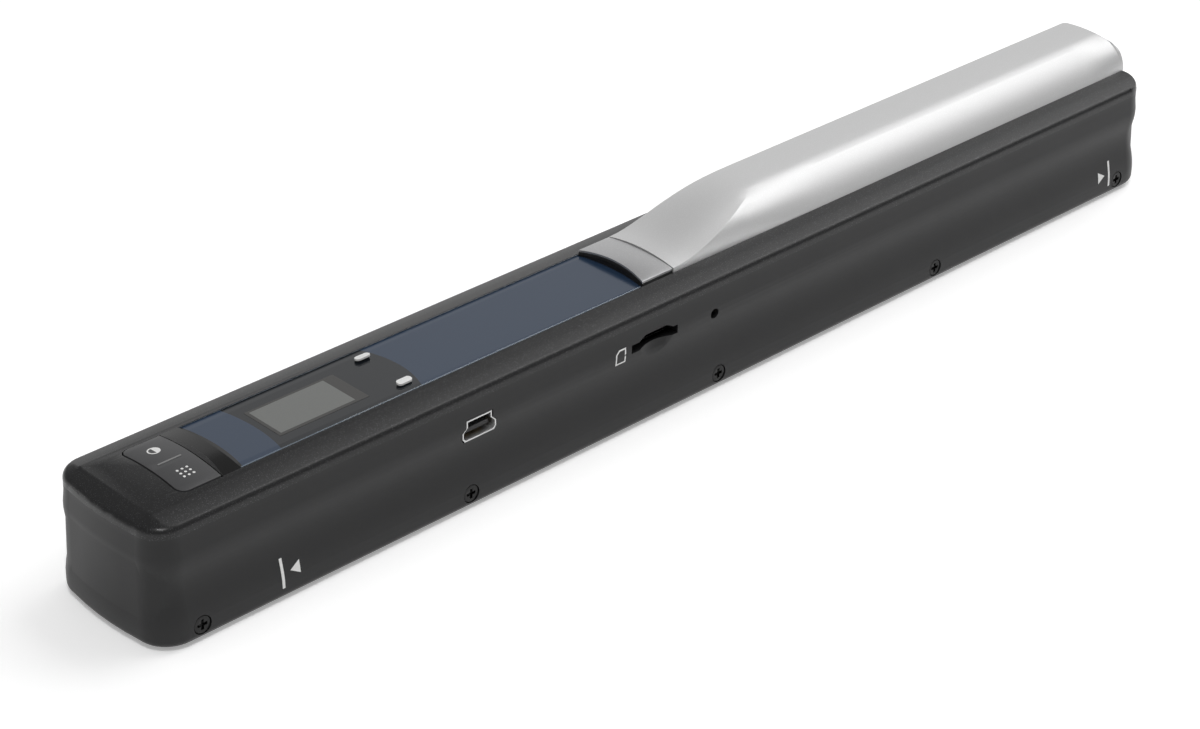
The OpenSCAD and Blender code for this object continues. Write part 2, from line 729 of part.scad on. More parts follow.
module rear_case_screws() {
    color([0.08, 0.08, 0.08]) for (x = screw_xs) translate([x, head_seat_y, screw_z])
        rotate([90, 0, 0]) screw(head_d, head_t, thread_d, thread_l);
}

module display_window() {
    color([0.2, 0.25, 0.36, 0.6]) intersection() {
        window_block(window_x0, 0, window_low, crown_z + over);
        under_dome(0);
    }
}

// Adhesive frame between the window and its ledge, left out where the mask lies
module window_tape() {
    color([0.1, 0.1, 0.1]) difference() {
        window_block(window_x0, 0, ledge_z, window_low);
        span_y(window_x0 + ledge_w, button_x0 - ledge_w - 2 * fit_gap, strip_y - ledge_w, 0, crown_z);
        span_y(mask_x0, mask_x1, half_w, 0, crown_z);
    }
}

module display_mask() {
    color([0.12, 0.13, 0.15]) difference() {
        span_y(mask_x0, mask_x1, window_y, ledge_z, window_low);
        span_y(lcd_mid - lcd_l / 2 + 0.8, lcd_mid + lcd_l / 2 - 0.8, lcd_w / 2 - 0.8, 0, crown_z);
        for (side = [-1, 1]) led_pill(side, fit_gap, 0, crown_z);
    }
}

// A pill that stands over a status light
module led_pill(side, g, z0, z1) {
    x0 = led_x - led_l / 2 + led_w / 2;
    x1 = led_x + led_l / 2 - led_w / 2;
    for (x = [x0, x1]) bar_z(x, side * led_y, z0, z1, led_w + 2 * g);
    span([x0, side * led_y - led_w / 2 - g, z0], [x1, side * led_y + led_w / 2 + g, z1]);
}

module lcd_module() {
    color([0.45, 0.45, 0.43]) span_y(lcd_mid - lcd_l / 2, lcd_mid + lcd_l / 2, lcd_w / 2, lcd_low, lcd_top);
}

module lcd_holder() {
    color([0.8, 0.8, 0.78]) difference() {
        span_y(lcd_mid - lcd_l / 2 - 0.8, lcd_mid + lcd_l / 2 + 0.8, lcd_w / 2 + 0.8, board_z, lcd_top - 0.4);
        span_y(lcd_mid - lcd_l / 2, lcd_mid + lcd_l / 2, lcd_w / 2, lcd_low, crown_z);
        span_y(lcd_mid - lcd_l / 2 + 1, lcd_mid + lcd_l / 2 - 1, lcd_w / 2 - 1, 0, crown_z);
    }
}

module status_leds() {
    color([0.95, 0.95, 0.9]) for (side = [-1, 1]) translate([led_x, side * led_y, board_z])
        span([-0.8, -0.4, 0], [0.8, 0.4, led_h]);
}

module led_light_pipes() {
    color([0.95, 0.95, 0.97]) for (side = [-1, 1]) led_pill(side, 0, board_z + led_h, window_low);
}

module mode_key() {
    color([0.33, 0.33, 0.335]) {
        difference() {
            intersection() {
                key_block(0, key_low, crown_z + over);
                under_dome(-key_proud);
            }
            // hollows under both halves
            for (side = [-1, 1]) span([key_x0 + 1, side > 0 ? 1.2 : -key_y + 1, key_low - over],
                [key_x1 - 1, side > 0 ? key_y - 1 : -1.2, key_axis_z + 0.6]);
        }
        for (side = [-1, 1]) bar_z(key_mid, side * key_switch_y, plunger_top + run_gap, key_axis_z + 0.7, key_nub_d);
        bar_x(key_x0 - key_pin_l, key_x0 + over, 0, key_axis_z, key_pin_d);
        bar_x(key_x1 - over, key_x1 + key_pin_l, 0, key_axis_z, key_pin_d);
    }
}

module mode_switches() {
    color([0.1, 0.1, 0.1]) for (side = [-1, 1]) difference() {
        translate([key_mid, side * key_switch_y, board_z]) span([-2.25, -2.25, 0], [2.25, 2.25, key_switch_h]);
        bar_z(key_mid, side * key_switch_y, board_z + 0.2, board_z + key_switch_h + over, key_plunger_d + 2 * run_gap);
    }
}

module mode_plunger(side) {
    color([0.85, 0.82, 0.7]) bar_z(key_mid, side * key_switch_y, board_z + 0.4, plunger_top, key_plunger_d);
}

module front_mode_plunger() {
    mode_plunger(-1);
}

module rear_mode_plunger() {
    mode_plunger(1);
}

module scan_button() {
    color([0.75, 0.75, 0.76]) {
        difference() {
            intersection() {
                button_block(0, button_low, crown_z + 2 * over);
                under_dome(-button_proud);
            }
            intersection() {
                button_block(-button_t, button_low - over, crown_z);
                under_dome(button_t - button_proud);
            }
        }
        // flange under the top cover, and the stem over the switch
        difference() {
            span_y(button_x0 - 0.5, button_x1, button_y + 0.8, button_low, rim_z - 0.1);
            button_block(-button_t, button_low - over, crown_z);
        }
        bar_z(scan_switch_x, 0, scan_stem_z, crown_z - 0.2, scan_plunger_d + 1);
    }
}

module scan_switch() {
    color([0.1, 0.1, 0.1]) difference() {
        translate([scan_switch_x, 0, board_z]) span([-1.9, -3, 0], [1.9, 3, scan_switch_h]);
        bar_z(scan_switch_x, 0, board_z + 0.6, crown_z, scan_plunger_d + 2 * run_gap);
    }
}

module scan_switch_plunger() {
    color([0.8, 0.2, 0.15]) bar_z(scan_switch_x, 0, board_z + 1.1, scan_stem_z, scan_plunger_d);
}

// Height of the cover's outer face over the middle of its crown, set in by t
function crest_z(x, t) = edge_z + cover_h - t - (cover_h - seam_h) * to_rise(x);

// Height of the cover's top at x and y
function cover_top(x, y, t) = crest_z(x, t) - pow(y - crown_y * (1 - to_rise(x)), 2) / (2 * cover_r);

// Angle on the front flank's arc where it meets the cover's top, found by halving
function crease(x, t, drop, lo = 0, hi = 85, n = 14) = n == 0 ? (lo + hi) / 2
    : let (a = (lo + hi) / 2, r = flank_r - t)
        seat_z + r * sin(a) < cover_top(x, -strip_y + flank_r - r * cos(a), t) - drop
        ? crease(x, t, drop, a, hi, n - 1) : crease(x, t, drop, lo, a, n - 1);

// The cover's outline across the body at x, set in by t and lowered by drop, from the front foot to the rear one
function cover_section(x, t, drop, steps) =
    let (r = flank_r - t, a = crease(x, t, drop), fy = -strip_y + flank_r,
        left = to_rise(x), s = max(0.2, 0.4 * left + shoulder_r * (1 - left) - t),
        ry = strip_y - t - s, b = atan((ry - crown_y * (1 - left)) / cover_r),
        y0 = fy - r * cos(a), y1 = ry + s * sin(b), rz = cover_top(x, y1, t) - drop - s * cos(b))
    concat([for (i = [0 : steps]) [x, fy - r * cos(a * i / steps), seat_z + r * sin(a * i / steps)]],
        [for (i = [1 : steps - 1]) let (y = y0 + (y1 - y0) * i / steps) [x, y, cover_top(x, y, t) - drop]],
        [for (i = [0 : steps / 2]) let (u = 90 - b - (90 - b) * 2 * i / steps)
            [x, ry + s * cos(u), rz + s * sin(u)]],
        [[x, strip_y - t, seat_z]]);

// The cover's body as a loft of those outlines. The last ones round its end
module cover_loft(t, steps, stations) {
    r = cover_end_r - t / 2;
    x0 = seam_x + t;
    x1 = cover_x1 - t;
    sections = concat([for (i = [0 : stations]) cover_section(x0 + rise_l * i / stations, t, 0, steps)],
        [for (a = [0 : 15 : 90]) cover_section(x1 - r + r * sin(a), t, r * (1 - cos(a)), steps)]);
    n = len(sections[0]);
    m = len(sections);
    sides = [for (j = [0 : m - 2], i = [0 : n - 1]) let (k = (i + 1) % n)
        each [[j * n + i, j * n + k, j * n + n + i], [j * n + k, j * n + n + k, j * n + n + i]]];
    polyhedron([for (s = sections, p = s) p],
        concat(sides, [[for (i = [n - 1 : -1 : 0]) i]], [[for (i = [0 : n - 1]) (m - 1) * n + i]]), convexity = 4);
}

module battery_cover() {
    color([0.78, 0.78, 0.78]) union() {
        difference() {
            cover_loft(0, 8, 16);
            translate([0, 0, -eps]) cover_loft(cover_t, 4, 8);
        }
        both_sides() for (x = hook_xs) hook(x);
    }
}

// A hook that reaches through the bay and under the top cover
module hook(x) {
    span([x, hook_y - 0.8, foot_z - 1], [x + hook_l, hook_y, seat_z + 1.2]);
    span([x, hook_y - 0.8, seat_z], [x + hook_l, strip_y - 0.3, seat_z + 1.2]);
    span([x, hook_y - 0.8, foot_z - 1], [x + hook_l, hook_y + hook_foot, foot_z]);
}

module battery_tray() {
    color([0.12, 0.12, 0.12]) difference() {
        union() {
            span_y(tray_x0, tray_x1, tray_in_y + tray_t, tray_low, tray_top);
            for (p = tray_posts) translate([p[0], 0, 0])
                span([-2.2, min(0, p[1] + sign(p[1]) * post_d / 2), tray_top - tab_t],
                    [2.2, max(0, p[1] + sign(p[1]) * post_d / 2), tray_top]);
        }
        span_y(tray_x0 + tray_t, tray_x1 - tray_t, tray_in_y, cell_z, crown_z);
        bar_x(tray_x0 + tray_t, tray_x1 - tray_t, 0, cell_z, 2 * tray_in_y);
        for (p = tray_posts) bar_z(p[0], p[1], 0, crown_z, small_thread_d + 2 * fit_gap);
    }
}

module battery_cells() {
    color([0.3, 0.35, 0.33]) for (i = [0, 1]) {
        x = tray_x0 + contact_room + i * cell_l;
        bar_x(x, x + cell_l - nub_l, 0, cell_z, cell_d);
        bar_x(x, x + cell_l, 0, cell_z, nub_d);
    }
}

// A plate on each end wall of the tray, with a sprung leaf that bows out to the cell
module battery_contacts() {
    reach = contact_room - tray_t - fit_gap;
    plate_h = cell_d / 2 - 2.25;
    leaf_h = plate_h - 0.4;
    color([0.8, 0.78, 0.7]) for (end = [0, 1])
        translate([end ? tray_x1 - tray_t : tray_x0 + tray_t, 0, cell_z]) mirror([end, 0, 0]) {
            span([0, -plate_h + 0.5, -plate_h], [leaf_t, plate_h - 0.5, plate_h]);
            translate([0, leaf_w / 2, 0]) rotate([90, 0, 0]) linear_extrude(leaf_w)
                polygon([[leaf_t, -leaf_h], [leaf_t, leaf_foot - leaf_h], [reach - leaf_t, 0],
                    [leaf_t, leaf_h - leaf_foot], [leaf_t, leaf_h], [reach, 0]]);
        }
}

module battery_return_strip() {
    color([0.8, 0.78, 0.7]) {
        span_y(tray_x0, tray_x1 + leaf_t, 1.5, tray_low - leaf_t, tray_low);
        span_y(tray_x1, tray_x1 + leaf_t, 1.5, tray_low - leaf_t, cell_z);
    }
}

module battery_lead() {
    color([0.7, 0.1, 0.1]) for (side = [-1, 1])
        bar_x(board_x1 - 2.5, tray_x0, side * lead_y, board_z + lead_d / 2, lead_d);
}

module tray_screws() {
    color([0.6, 0.6, 0.6]) for (p = tray_posts) translate([p[0], p[1], tray_top - tab_t])
        screw(small_head_d, 0.9, small_thread_d, tab_t + tray_bite - 0.3);
}

module main_board() {
    color([0.05, 0.3, 0.12]) difference() {
        span_y(board_x0, board_x1, board_y, board_low, board_z);
        for (p = board_posts) bar_z(p[0], p[1], 0, crown_z, small_thread_d + 2 * fit_gap);
    }
}

module board_screws() {
    color([0.6, 0.6, 0.6]) for (p = board_posts) translate([p[0], p[1], board_low])
        screw(small_head_d, 0.9, small_thread_d, board_t + post_bite - 0.3);
}

module board_chips() {
    color([0.07, 0.07, 0.07]) {
        chip_room = scan_switch_x - mask_x1;
        translate([mask_x1 + 0.2 * chip_room, 0, board_z]) span([-5, -5, 0], [5, 5, 1.1]);
        translate([mask_x1 + 0.55 * chip_room, 1, board_z]) span([-4, -6, 0], [4, 6, 1]);
        translate([(window_x0 + mask_x0) / 2, -2, board_z]) span([-2.5, -2, 0], [2.5, 2, 1.2]);
    }
}

// The data socket seen from its mouth, grown by g: a wide half under a narrow one
module usb_outline(g) {
    w = usb_w / 2 + g;
    n = usb_neck_w / 2 + g;
    polygon([[-w + 0.5, usb_z0 - g], [w - 0.5, usb_z0 - g], [w, usb_z0 + 0.7], [w, usb_step_z], [n, usb_step_z + 0.9],
        [n, usb_z1 + g], [-n, usb_z1 + g], [-n, usb_step_z + 0.9], [-w, usb_step_z], [-w, usb_z0 + 0.7]]);
}

module usb_prism(g, y0, y1) {
    translate([usb_x, y1, 0]) rotate([90, 0, 0]) linear_extrude(y1 - y0) usb_outline(g);
}

module usb_shell() {
    color([0.75, 0.75, 0.75]) difference() {
        usb_prism(0, usb_mouth_y, usb_mouth_y + usb_depth);
        usb_prism(-usb_shell_t, usb_mouth_y - over, usb_mouth_y + usb_depth - usb_shell_t);
    }
}

module usb_tongue() {
    color([0.06, 0.06, 0.06]) {
        span([usb_x - 2.6, usb_mouth_y + 0.8, usb_step_z - 0.6], [usb_x + 2.6, usb_mouth_y + 6, usb_step_z + 0.3]);
        usb_prism(-usb_shell_t, usb_mouth_y + 6, usb_mouth_y + usb_depth - usb_shell_t);
    }
}

module usb_contacts() {
    color([0.85, 0.7, 0.3]) for (i = [-2 : 2])
        span([usb_x + 0.8 * i - 0.2, usb_mouth_y + 1.1, usb_step_z - 0.8],
            [usb_x + 0.8 * i + 0.2, usb_mouth_y + 6, usb_step_z - 0.6]);
}

module card_socket_base() {
    color([0.08, 0.08, 0.08]) difference() {
        span([card_x - card_w / 2 - 1.2, card_y0, card_z - 0.7], [card_x + card_w / 2 + 1.2, card_y1, board_low]);
        span([card_x - card_w / 2, card_y0 - over, card_z - over], [card_x + card_w / 2, card_y1 - 1.2, card_z + 0.6]);
    }
}

module card_socket_cover() {
    color([0.75, 0.75, 0.75]) span([card_x - card_w / 2 - 1.2, card_y0 + 0.5, card_z - 0.9],
        [card_x + card_w / 2 + 1.2, card_y1, card_z - 0.7]);
}

module reset_switch() {
    color([0.1, 0.1, 0.1]) difference() {
        span([reset_x - 2, reset_y0, reset_z - 1.6], [reset_x + 2, reset_y0 + 3.4, board_low]);
        bar_y(reset_x, reset_y0 - over, reset_y0 + 1.6, reset_z, reset_plunger_d + 2 * run_gap);
    }
}

module reset_plunger() {
    color([0.85, 0.82, 0.7]) bar_y(reset_x, reset_y0 - 1, reset_y0 + 1.1, reset_z, reset_plunger_d);
}

module sensor_housing() {
    color([0.1, 0.1, 0.105]) difference() {
        union() {
            span_y(sensor_x0, sensor_x1, sensor_w / 2, base_z, sensor_top);
            span_y(sensor_x0 - sensor_ear, sensor_x1 + sensor_ear, sensor_w / 2 - 1, plate_z, plate_z + 2);
        }
        // seats of the glass, the lens array, the light guide and the sensor's board
        span_y(sensor_x0 + 1, sensor_x1 - 1, glass_w / 2 + fit_gap / 2, 0, base_z + glass_t);
        span_y(sensor_x0 + 2, sensor_x1 - 2, lens_t / 2, 0, sensor_top);
        span([sensor_x0 + 2, guide_seat_y, 0], [sensor_x1 - 2, glass_w / 2 - 0.6, lens_z0 + 3]);
        span_y(sensor_x0 + 0.8, sensor_x1 - 0.8, sensor_w / 2 - 0.8, sensor_top - sensor_board_t, sensor_top + over);
        for (p = sensor_screw_ps) bar_z(p[0], p[1], 0, crown_z, small_thread_d + 2 * fit_gap);
    }
}

module sensor_glass() {
    color([0.6, 0.7, 0.7, 0.5]) span_y(sensor_x0 + 1 + fit_gap, sensor_x1 - 1 - fit_gap, glass_w / 2,
        base_z, base_z + glass_t);
}

module rod_lens_array() {
    color([0.85, 0.85, 0.8]) span_y(sensor_x0 + 2, sensor_x1 - 2, lens_t / 2, lens_z0, lens_z0 + lens_h);
}

module light_guide() {
    color([0.9, 0.95, 0.95]) bar_x(sensor_x0 + 2, sensor_x1 - 2, guide_seat_y + guide_d / 2,
        lens_z0 + 3 - guide_d / 2, guide_d);
}

module sensor_board() {
    color([0.05, 0.3, 0.12]) span_y(sensor_x0 + 0.8, sensor_x1 - 0.8, sensor_w / 2 - 0.8,
        sensor_top - sensor_board_t, sensor_top);
}

module sensor_screws() {
    color([0.6, 0.6, 0.6]) for (p = sensor_screw_ps) translate([p[0], p[1], plate_z + 2])
        rotate([180, 0, 0]) screw(2.4, 0.8, small_thread_d, 2 + plate_t - 0.5);
}

// Flat cable from the sensor's board up to the main board
module ribbon_cable() {
    x = sensor_x0 + 8;
    r = 2;
    color([0.85, 0.85, 0.85]) translate([0, 4, 0]) rotate([90, 0, 0]) linear_extrude(8) {
        translate([sensor_x0 + 2, sensor_top]) square([x - sensor_x0 - 2, ribbon_t]);
        translate([x, sensor_top + r]) intersection() {
            difference() {
                circle(r, $fn = round_fn);
                circle(r - ribbon_t, $fn = round_fn);
            }
            translate([0, -r]) square([r, r]);
        }
        translate([x + r - ribbon_t, sensor_top + r]) square([ribbon_t, board_low - 1 - sensor_top - r]);
    }
}

module ribbon_connector() {
    color([0.9, 0.88, 0.8]) span_y(sensor_x0 + 8.6, sensor_x0 + 11, 5, board_low - 1, board_low);
}

// Steel shaft, four plastic hubs and four rubber tyres on one side of the body
module roller_shaft(side) {
    color([0.7, 0.7, 0.72]) bar_x(shaft_x0, shaft_x1, side * roller_y, shaft_z, shaft_d);
}

module roller_rings(side, d_in, d_out, w) {
    for (x = tyre_xs) difference() {
        bar_x(x - w / 2, x + w / 2, side * roller_y, shaft_z, d_out);
        bar_x(x - w, x + w, side * roller_y, shaft_z, d_in);
    }
}

module front_roller_shaft() {
    roller_shaft(-1);
}

module rear_roller_shaft() {
    roller_shaft(1);
}

module front_roller_hubs() {
    color([0.9, 0.9, 0.88]) roller_rings(-1, shaft_d, hub_d, tyre_w - 0.6);
}

module rear_roller_hubs() {
    color([0.9, 0.9, 0.88]) roller_rings(1, shaft_d, hub_d, tyre_w - 0.6);
}

module front_roller_tyres() {
    color([0.06, 0.06, 0.06]) roller_rings(-1, hub_d, tyre_d, tyre_w);
}

module rear_roller_tyres() {
    color([0.06, 0.06, 0.06]) roller_rings(1, hub_d, tyre_d, tyre_w);
}

module roller_bushes() {
    color([0.85, 0.85, 0.8]) for (x = bulkheads, side = [-1, 1]) difference() {
        bar_x(x - bulkhead_t / 2, x + bulkhead_t / 2, side * roller_y, shaft_z, bush_d);
        bar_x(x - bulkhead_t, x + bulkhead_t, side * roller_y, shaft_z, shaft_d + 2 * run_gap);
    }
}

// Involute flank: the point at roll angle t on a base circle of radius r
function involute(r, t) = r * [cos(t) + t * PI / 180 * sin(t), sin(t) - t * PI / 180 * cos(t)];

// Roll angle at which an involute from base radius b reaches radius r
function roll_to(b, r) = sqrt(max(0, pow(r / b, 2) - 1)) * 180 / PI;

// A spur gear's outline, with one tooth on the x axis and a little play between the teeth
module gear_outline(teeth) {
    pitch = gear_module * teeth / 2;
    tip = pitch + gear_module;
    root = pitch - 1.25 * gear_module;
    b = pitch * cos(20);
    start = roll_to(b, max(b, root));
    turn = roll_to(b, pitch) - 20 + (90 - gear_play) / teeth;
    flank = [for (i = [0 : 4]) involute(b, start + (roll_to(b, tip) - start) * i / 4)];
    circle(r = root, $fn = 4 * teeth);
    for (i = [0 : teeth - 1]) rotate(360 * i / teeth) polygon(concat([[0, 0]],
        [for (p = flank) turned(p, -turn)], [for (j = [4 : -1 : 0]) let (p = flank[j]) turned([p[0], -p[1]], turn)]));
}

function turned(p, a) = [p[0] * cos(a) - p[1] * sin(a), p[0] * sin(a) + p[1] * cos(a)];

module gear(x, y, z, teeth, angle, bore) {
    translate([x - gear_w / 2, y, z]) rotate([90, 0, 90]) rotate(angle) linear_extrude(gear_w) difference() {
        gear_outline(teeth);
        circle(d = bore, $fn = round_fn);
    }
}

module drive_gear() {
    color([0.9, 0.9, 0.88]) gear(gear_x, roller_y, shaft_z, drive_teeth, 180 - gear_a, shaft_d);
}

module encoder_gear() {
    color([0.9, 0.9, 0.88]) gear(gear_x, encoder_y, encoder_z, encoder_teeth, -gear_a + 180 / encoder_teeth, axle_d);
}

module encoder_disc() {
    color([0.12, 0.12, 0.12]) translate([disc_x - disc_t / 2, encoder_y, encoder_z]) rotate([90, 0, 90]) {
        linear_extrude(disc_t) difference() {
            circle(d = disc_d, $fn = 2 * round_fn);
            circle(d = axle_d, $fn = round_fn);
            for (i = [0 : disc_slots - 1]) rotate(360 * i / disc_slots) translate([disc_d / 2 - 1.6, -0.2]) square([1.2, 0.4]);
        }
        translate([0, 0, disc_t]) linear_extrude(1) difference() {
            circle(d = 3, $fn = round_fn);
            circle(d = axle_d, $fn = round_fn);
        }
    }
}

module encoder_axle() {
    color([0.7, 0.7, 0.72]) bar_x(axle_x0, axle_x1, encoder_y, encoder_z, axle_d);
}

module photo_interrupter() {
    color([0.07, 0.07, 0.07]) difference() {
        span([disc_x - 2.4, encoder_y - 2.4, encoder_z + 1.8], [disc_x + 2.4, encoder_y + 2.4, board_low]);
        span([disc_x - 0.7, encoder_y - 3, encoder_z], [disc_x + 0.7, encoder_y + 3, encoder_z + disc_d / 2 + 0.8]);
    }
}

main_housing();
top_cover();
bottom_frame();
front_case_screws();
rear_case_screws();
display_window();
window_tape();
display_mask();
lcd_module();
lcd_holder();
status_leds();
led_light_pipes();
mode_key();
mode_switches();
front_mode_plunger();
rear_mode_plunger();
scan_button();
scan_switch();
scan_switch_plunger();
battery_cover();
battery_tray();
battery_cells();
battery_contacts();
battery_return_strip();
battery_lead();
tray_screws();
main_board();
board_screws();
board_chips();
usb_shell();
usb_tongue();
usb_contacts();
card_socket_base();
card_socket_cover();
reset_switch();
reset_plunger();
sensor_housing();
sensor_glass();
rod_lens_array();
light_guide();
sensor_board();
sensor_screws();
ribbon_cable();
ribbon_connector();
front_roller_shaft();
front_roller_hubs();
front_roller_tyres();
rear_roller_shaft();
rear_roller_hubs();
rear_roller_tyres();
roller_bushes();
drive_gear();
encoder_gear();
encoder_disc();
encoder_axle();
photo_interrupter();
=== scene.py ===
import json
import math
import bpy
from mathutils import Matrix, Vector


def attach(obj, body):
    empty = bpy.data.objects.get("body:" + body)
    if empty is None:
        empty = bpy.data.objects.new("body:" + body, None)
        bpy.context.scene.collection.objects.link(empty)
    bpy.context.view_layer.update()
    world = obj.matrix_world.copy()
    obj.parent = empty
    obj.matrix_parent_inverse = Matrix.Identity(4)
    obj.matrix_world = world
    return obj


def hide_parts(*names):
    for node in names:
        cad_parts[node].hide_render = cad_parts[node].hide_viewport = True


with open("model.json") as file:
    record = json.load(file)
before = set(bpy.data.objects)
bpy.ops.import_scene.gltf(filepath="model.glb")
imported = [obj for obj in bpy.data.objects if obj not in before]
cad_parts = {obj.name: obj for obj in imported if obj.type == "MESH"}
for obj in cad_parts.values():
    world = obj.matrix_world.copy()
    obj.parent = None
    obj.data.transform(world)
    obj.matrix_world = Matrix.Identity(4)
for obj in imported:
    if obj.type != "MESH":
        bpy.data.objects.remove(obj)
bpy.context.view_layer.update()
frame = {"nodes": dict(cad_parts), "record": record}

print("frame loaded:", len(frame["nodes"]), "nodes")


# Lengths below are in millimetres, as in the part's source, and become metres here
perMetre = 1000


def mm(*lengths):
    if len(lengths) == 1:
        return lengths[0] / perMetre
    return Vector(lengths) / perMetre


# Places closer than this count as the same
nearby = 0.01


# Only this object is selected and active
def pick(piece):
    if bpy.context.object and bpy.context.object.mode != "OBJECT":
        bpy.ops.object.mode_set(mode="OBJECT")
    bpy.ops.object.select_all(action="DESELECT")
    piece.select_set(True)
    bpy.context.view_layer.objects.active = piece


# Opens a piece in edit mode with nothing selected
def edit(piece, mode="VERT"):
    pick(piece)
    bpy.ops.object.mode_set(mode="EDIT")
    bpy.ops.mesh.select_mode(type=mode)
    bpy.ops.mesh.select_all(action="DESELECT")


def leave():
    if bpy.context.object.mode != "OBJECT":
        bpy.ops.object.mode_set(mode="OBJECT")


def selectNothing(piece):
    for group in (piece.data.vertices, piece.data.edges, piece.data.polygons):
        for item in group:
            item.select = False


# Selects the points whose places pass a test
def choose(piece, test):
    leave()
    selectNothing(piece)
    for point in piece.data.vertices:
        point.select = bool(test(point.co))
    bpy.ops.object.mode_set(mode="EDIT")
    bpy.ops.mesh.select_mode(type="VERT")


def applied(piece, kind, **settings):
    pick(piece)
    step = piece.modifiers.new(kind.title(), kind)
    for name, value in settings.items():
        setattr(step, name, value)
    bpy.ops.object.modifier_apply(modifier=step.name)


def atOrigin(piece):
    pick(piece)
    bpy.ops.object.transform_apply(location=True, rotation=True, scale=True)


# One socket of a material. The usual signs between two of them, or one and a number, add Math nodes
class Wire:
    def __init__(self, finish, socket):
        self.finish = finish
        self.socket = socket

    def maths(self, operation, first, second):
        return self.finish.node("Math", {"operation": operation}, {0: first, 1: second})

    def __add__(self, other):
        return self.maths("ADD", self, other)

    def __sub__(self, other):
        return self.maths("SUBTRACT", self, other)

    def __mul__(self, other):
        return self.maths("MULTIPLY", self, other)

    def __pow__(self, other):
        return self.maths("POWER", self, other)

    def __gt__(self, other):
        return self.maths("GREATER_THAN", self, other)

    def __lt__(self, other):
        return self.maths("LESS_THAN", self, other)

    def __radd__(self, other):
        return self.maths("ADD", other, self)

    def __rsub__(self, other):
        return self.maths("SUBTRACT", other, self)

    def __rmul__(self, other):
        return self.maths("MULTIPLY", other, self)

    def __abs__(self):
        return self.maths("ABSOLUTE", self, 0.0)

    def least(self, other):
        return self.maths("MINIMUM", self, other)


# A material that is built node by node
class Finish:
    def __init__(self, name):
        self.material = bpy.data.materials.new(name)
        self.material.use_nodes = True
        self.nodes = self.material.node_tree.nodes
        self.links = self.material.node_tree.links
        self.nodes.clear()

    def node(self, kind, settings=None, values=None, out=0):
        made = self.nodes.new("ShaderNode" + kind)
        for name, value in (settings or {}).items():
            setattr(made, name, value)
        for name, value in (values or {}).items():
            if isinstance(value, Wire):
                self.links.new(value.socket, made.inputs[name])
            else:
                made.inputs[name].default_value = value
        return Wire(self, made.outputs[out])

    def place(self):
        return self.node("TexCoord", out="Object")

    # Even noise between 0 and 1, with grains of this size in millimetres
    def grain(self, size, detail=2.0, stretch=None, coarse=0.55):
        place = self.place()
        if stretch:
            place = self.node("Mapping", {}, {"Vector": place, "Scale": stretch})
        values = {"Vector": place, "Scale": perMetre / size, "Detail": detail, "Roughness": coarse}
        return self.node("TexNoise", {}, values)

    # One of the three distances along the piece's own axes, in millimetres
    def along(self, axis):
        return self.node("SeparateXYZ", {}, {"Vector": self.place()}, axis) * perMetre

    # A random number for each speck of this size
    def specks(self, size):
        values = {"Vector": self.place(), "Scale": perMetre / size}
        seen = self.node("TexVoronoi", {"feature": "F1"}, values, "Color")
        return self.node("SeparateColor", {}, {"Color": seen})

    def blend(self, share, first, second):
        return self.node("Mix", {"data_type": "RGBA"}, {0: share, 6: first, 7: second}, 2)

    def bumped(self, height, depth):
        return self.node("Bump", {}, {"Height": height, "Distance": mm(depth), "Strength": 1.0})

    def coat(self, **values):
        shown = {name.replace("_", " "): value for name, value in values.items()}
        shader = self.node("BsdfPrincipled", {}, shown, "BSDF")
        last = self.nodes.new("ShaderNodeOutputMaterial")
        self.links.new(shader.socket, last.inputs["Surface"])
        return self.material


def dress(piece, material):
    if not piece.material_slots:
        piece.data.materials.append(material)
    for slot in piece.material_slots:
        slot.material = material


# The finishes. Colours are linear. The sizes of grain, lines, haze and flakes, and all depths, are in
# millimetres. Dark and light are shares of a colour. A name that ends in Rough says how far a pattern changes
# the roughness
moulded = {
    "charcoalShell": {"color": (0.0095, 0.0095, 0.01), "rough": 0.42, "grain": 0.16, "depth": 0.005,
                      "shine": 0.38},
    "blackFrame": {"color": (0.014, 0.014, 0.0145), "rough": 0.5, "grain": 0.2, "depth": 0.005},
    "greyKey": {"color": (0.05, 0.05, 0.052), "rough": 0.42, "grain": 0.12, "depth": 0.003},
    "blackPart": {"color": (0.012, 0.012, 0.012), "rough": 0.42, "grain": 0.25, "depth": 0.003},
    "whitePart": {"color": (0.68, 0.68, 0.65), "rough": 0.45, "grain": 0.3, "depth": 0.003},
    "creamPart": {"color": (0.55, 0.48, 0.33), "rough": 0.4, "grain": 0.3, "depth": 0.003},
    "redWire": {"color": (0.4, 0.03, 0.02), "rough": 0.4, "grain": 0.3, "depth": 0.003},
    "tyreRubber": {"color": (0.02, 0.02, 0.02), "rough": 0.78, "grain": 0.1, "depth": 0.01},
    "greenBoard": {"color": (0.012, 0.085, 0.03), "rough": 0.3, "grain": 0.6, "depth": 0.008},
    "cellSleeve": {"color": (0.06, 0.1, 0.09), "rough": 0.3, "grain": 0.5, "depth": 0.004},
    "whitePrint": {"color": (0.78, 0.78, 0.77), "rough": 0.5, "grain": 0.12, "depth": 0.002},
    # The rib's grey is a painted highlight: the key's raised rib is painted paler than the key, for the light
    # along it
    "ribPaintedHighlight": {"color": (0.2, 0.2, 0.2), "rough": 0.4, "grain": 0.12, "depth": 0.002},
}
mouldedLook = {"dark": 0.86, "light": 1.14, "fineRough": 0.06, "cloud": 14, "cloudRough": 0.08, "shine": 0.5,
               "ior": 1.48}
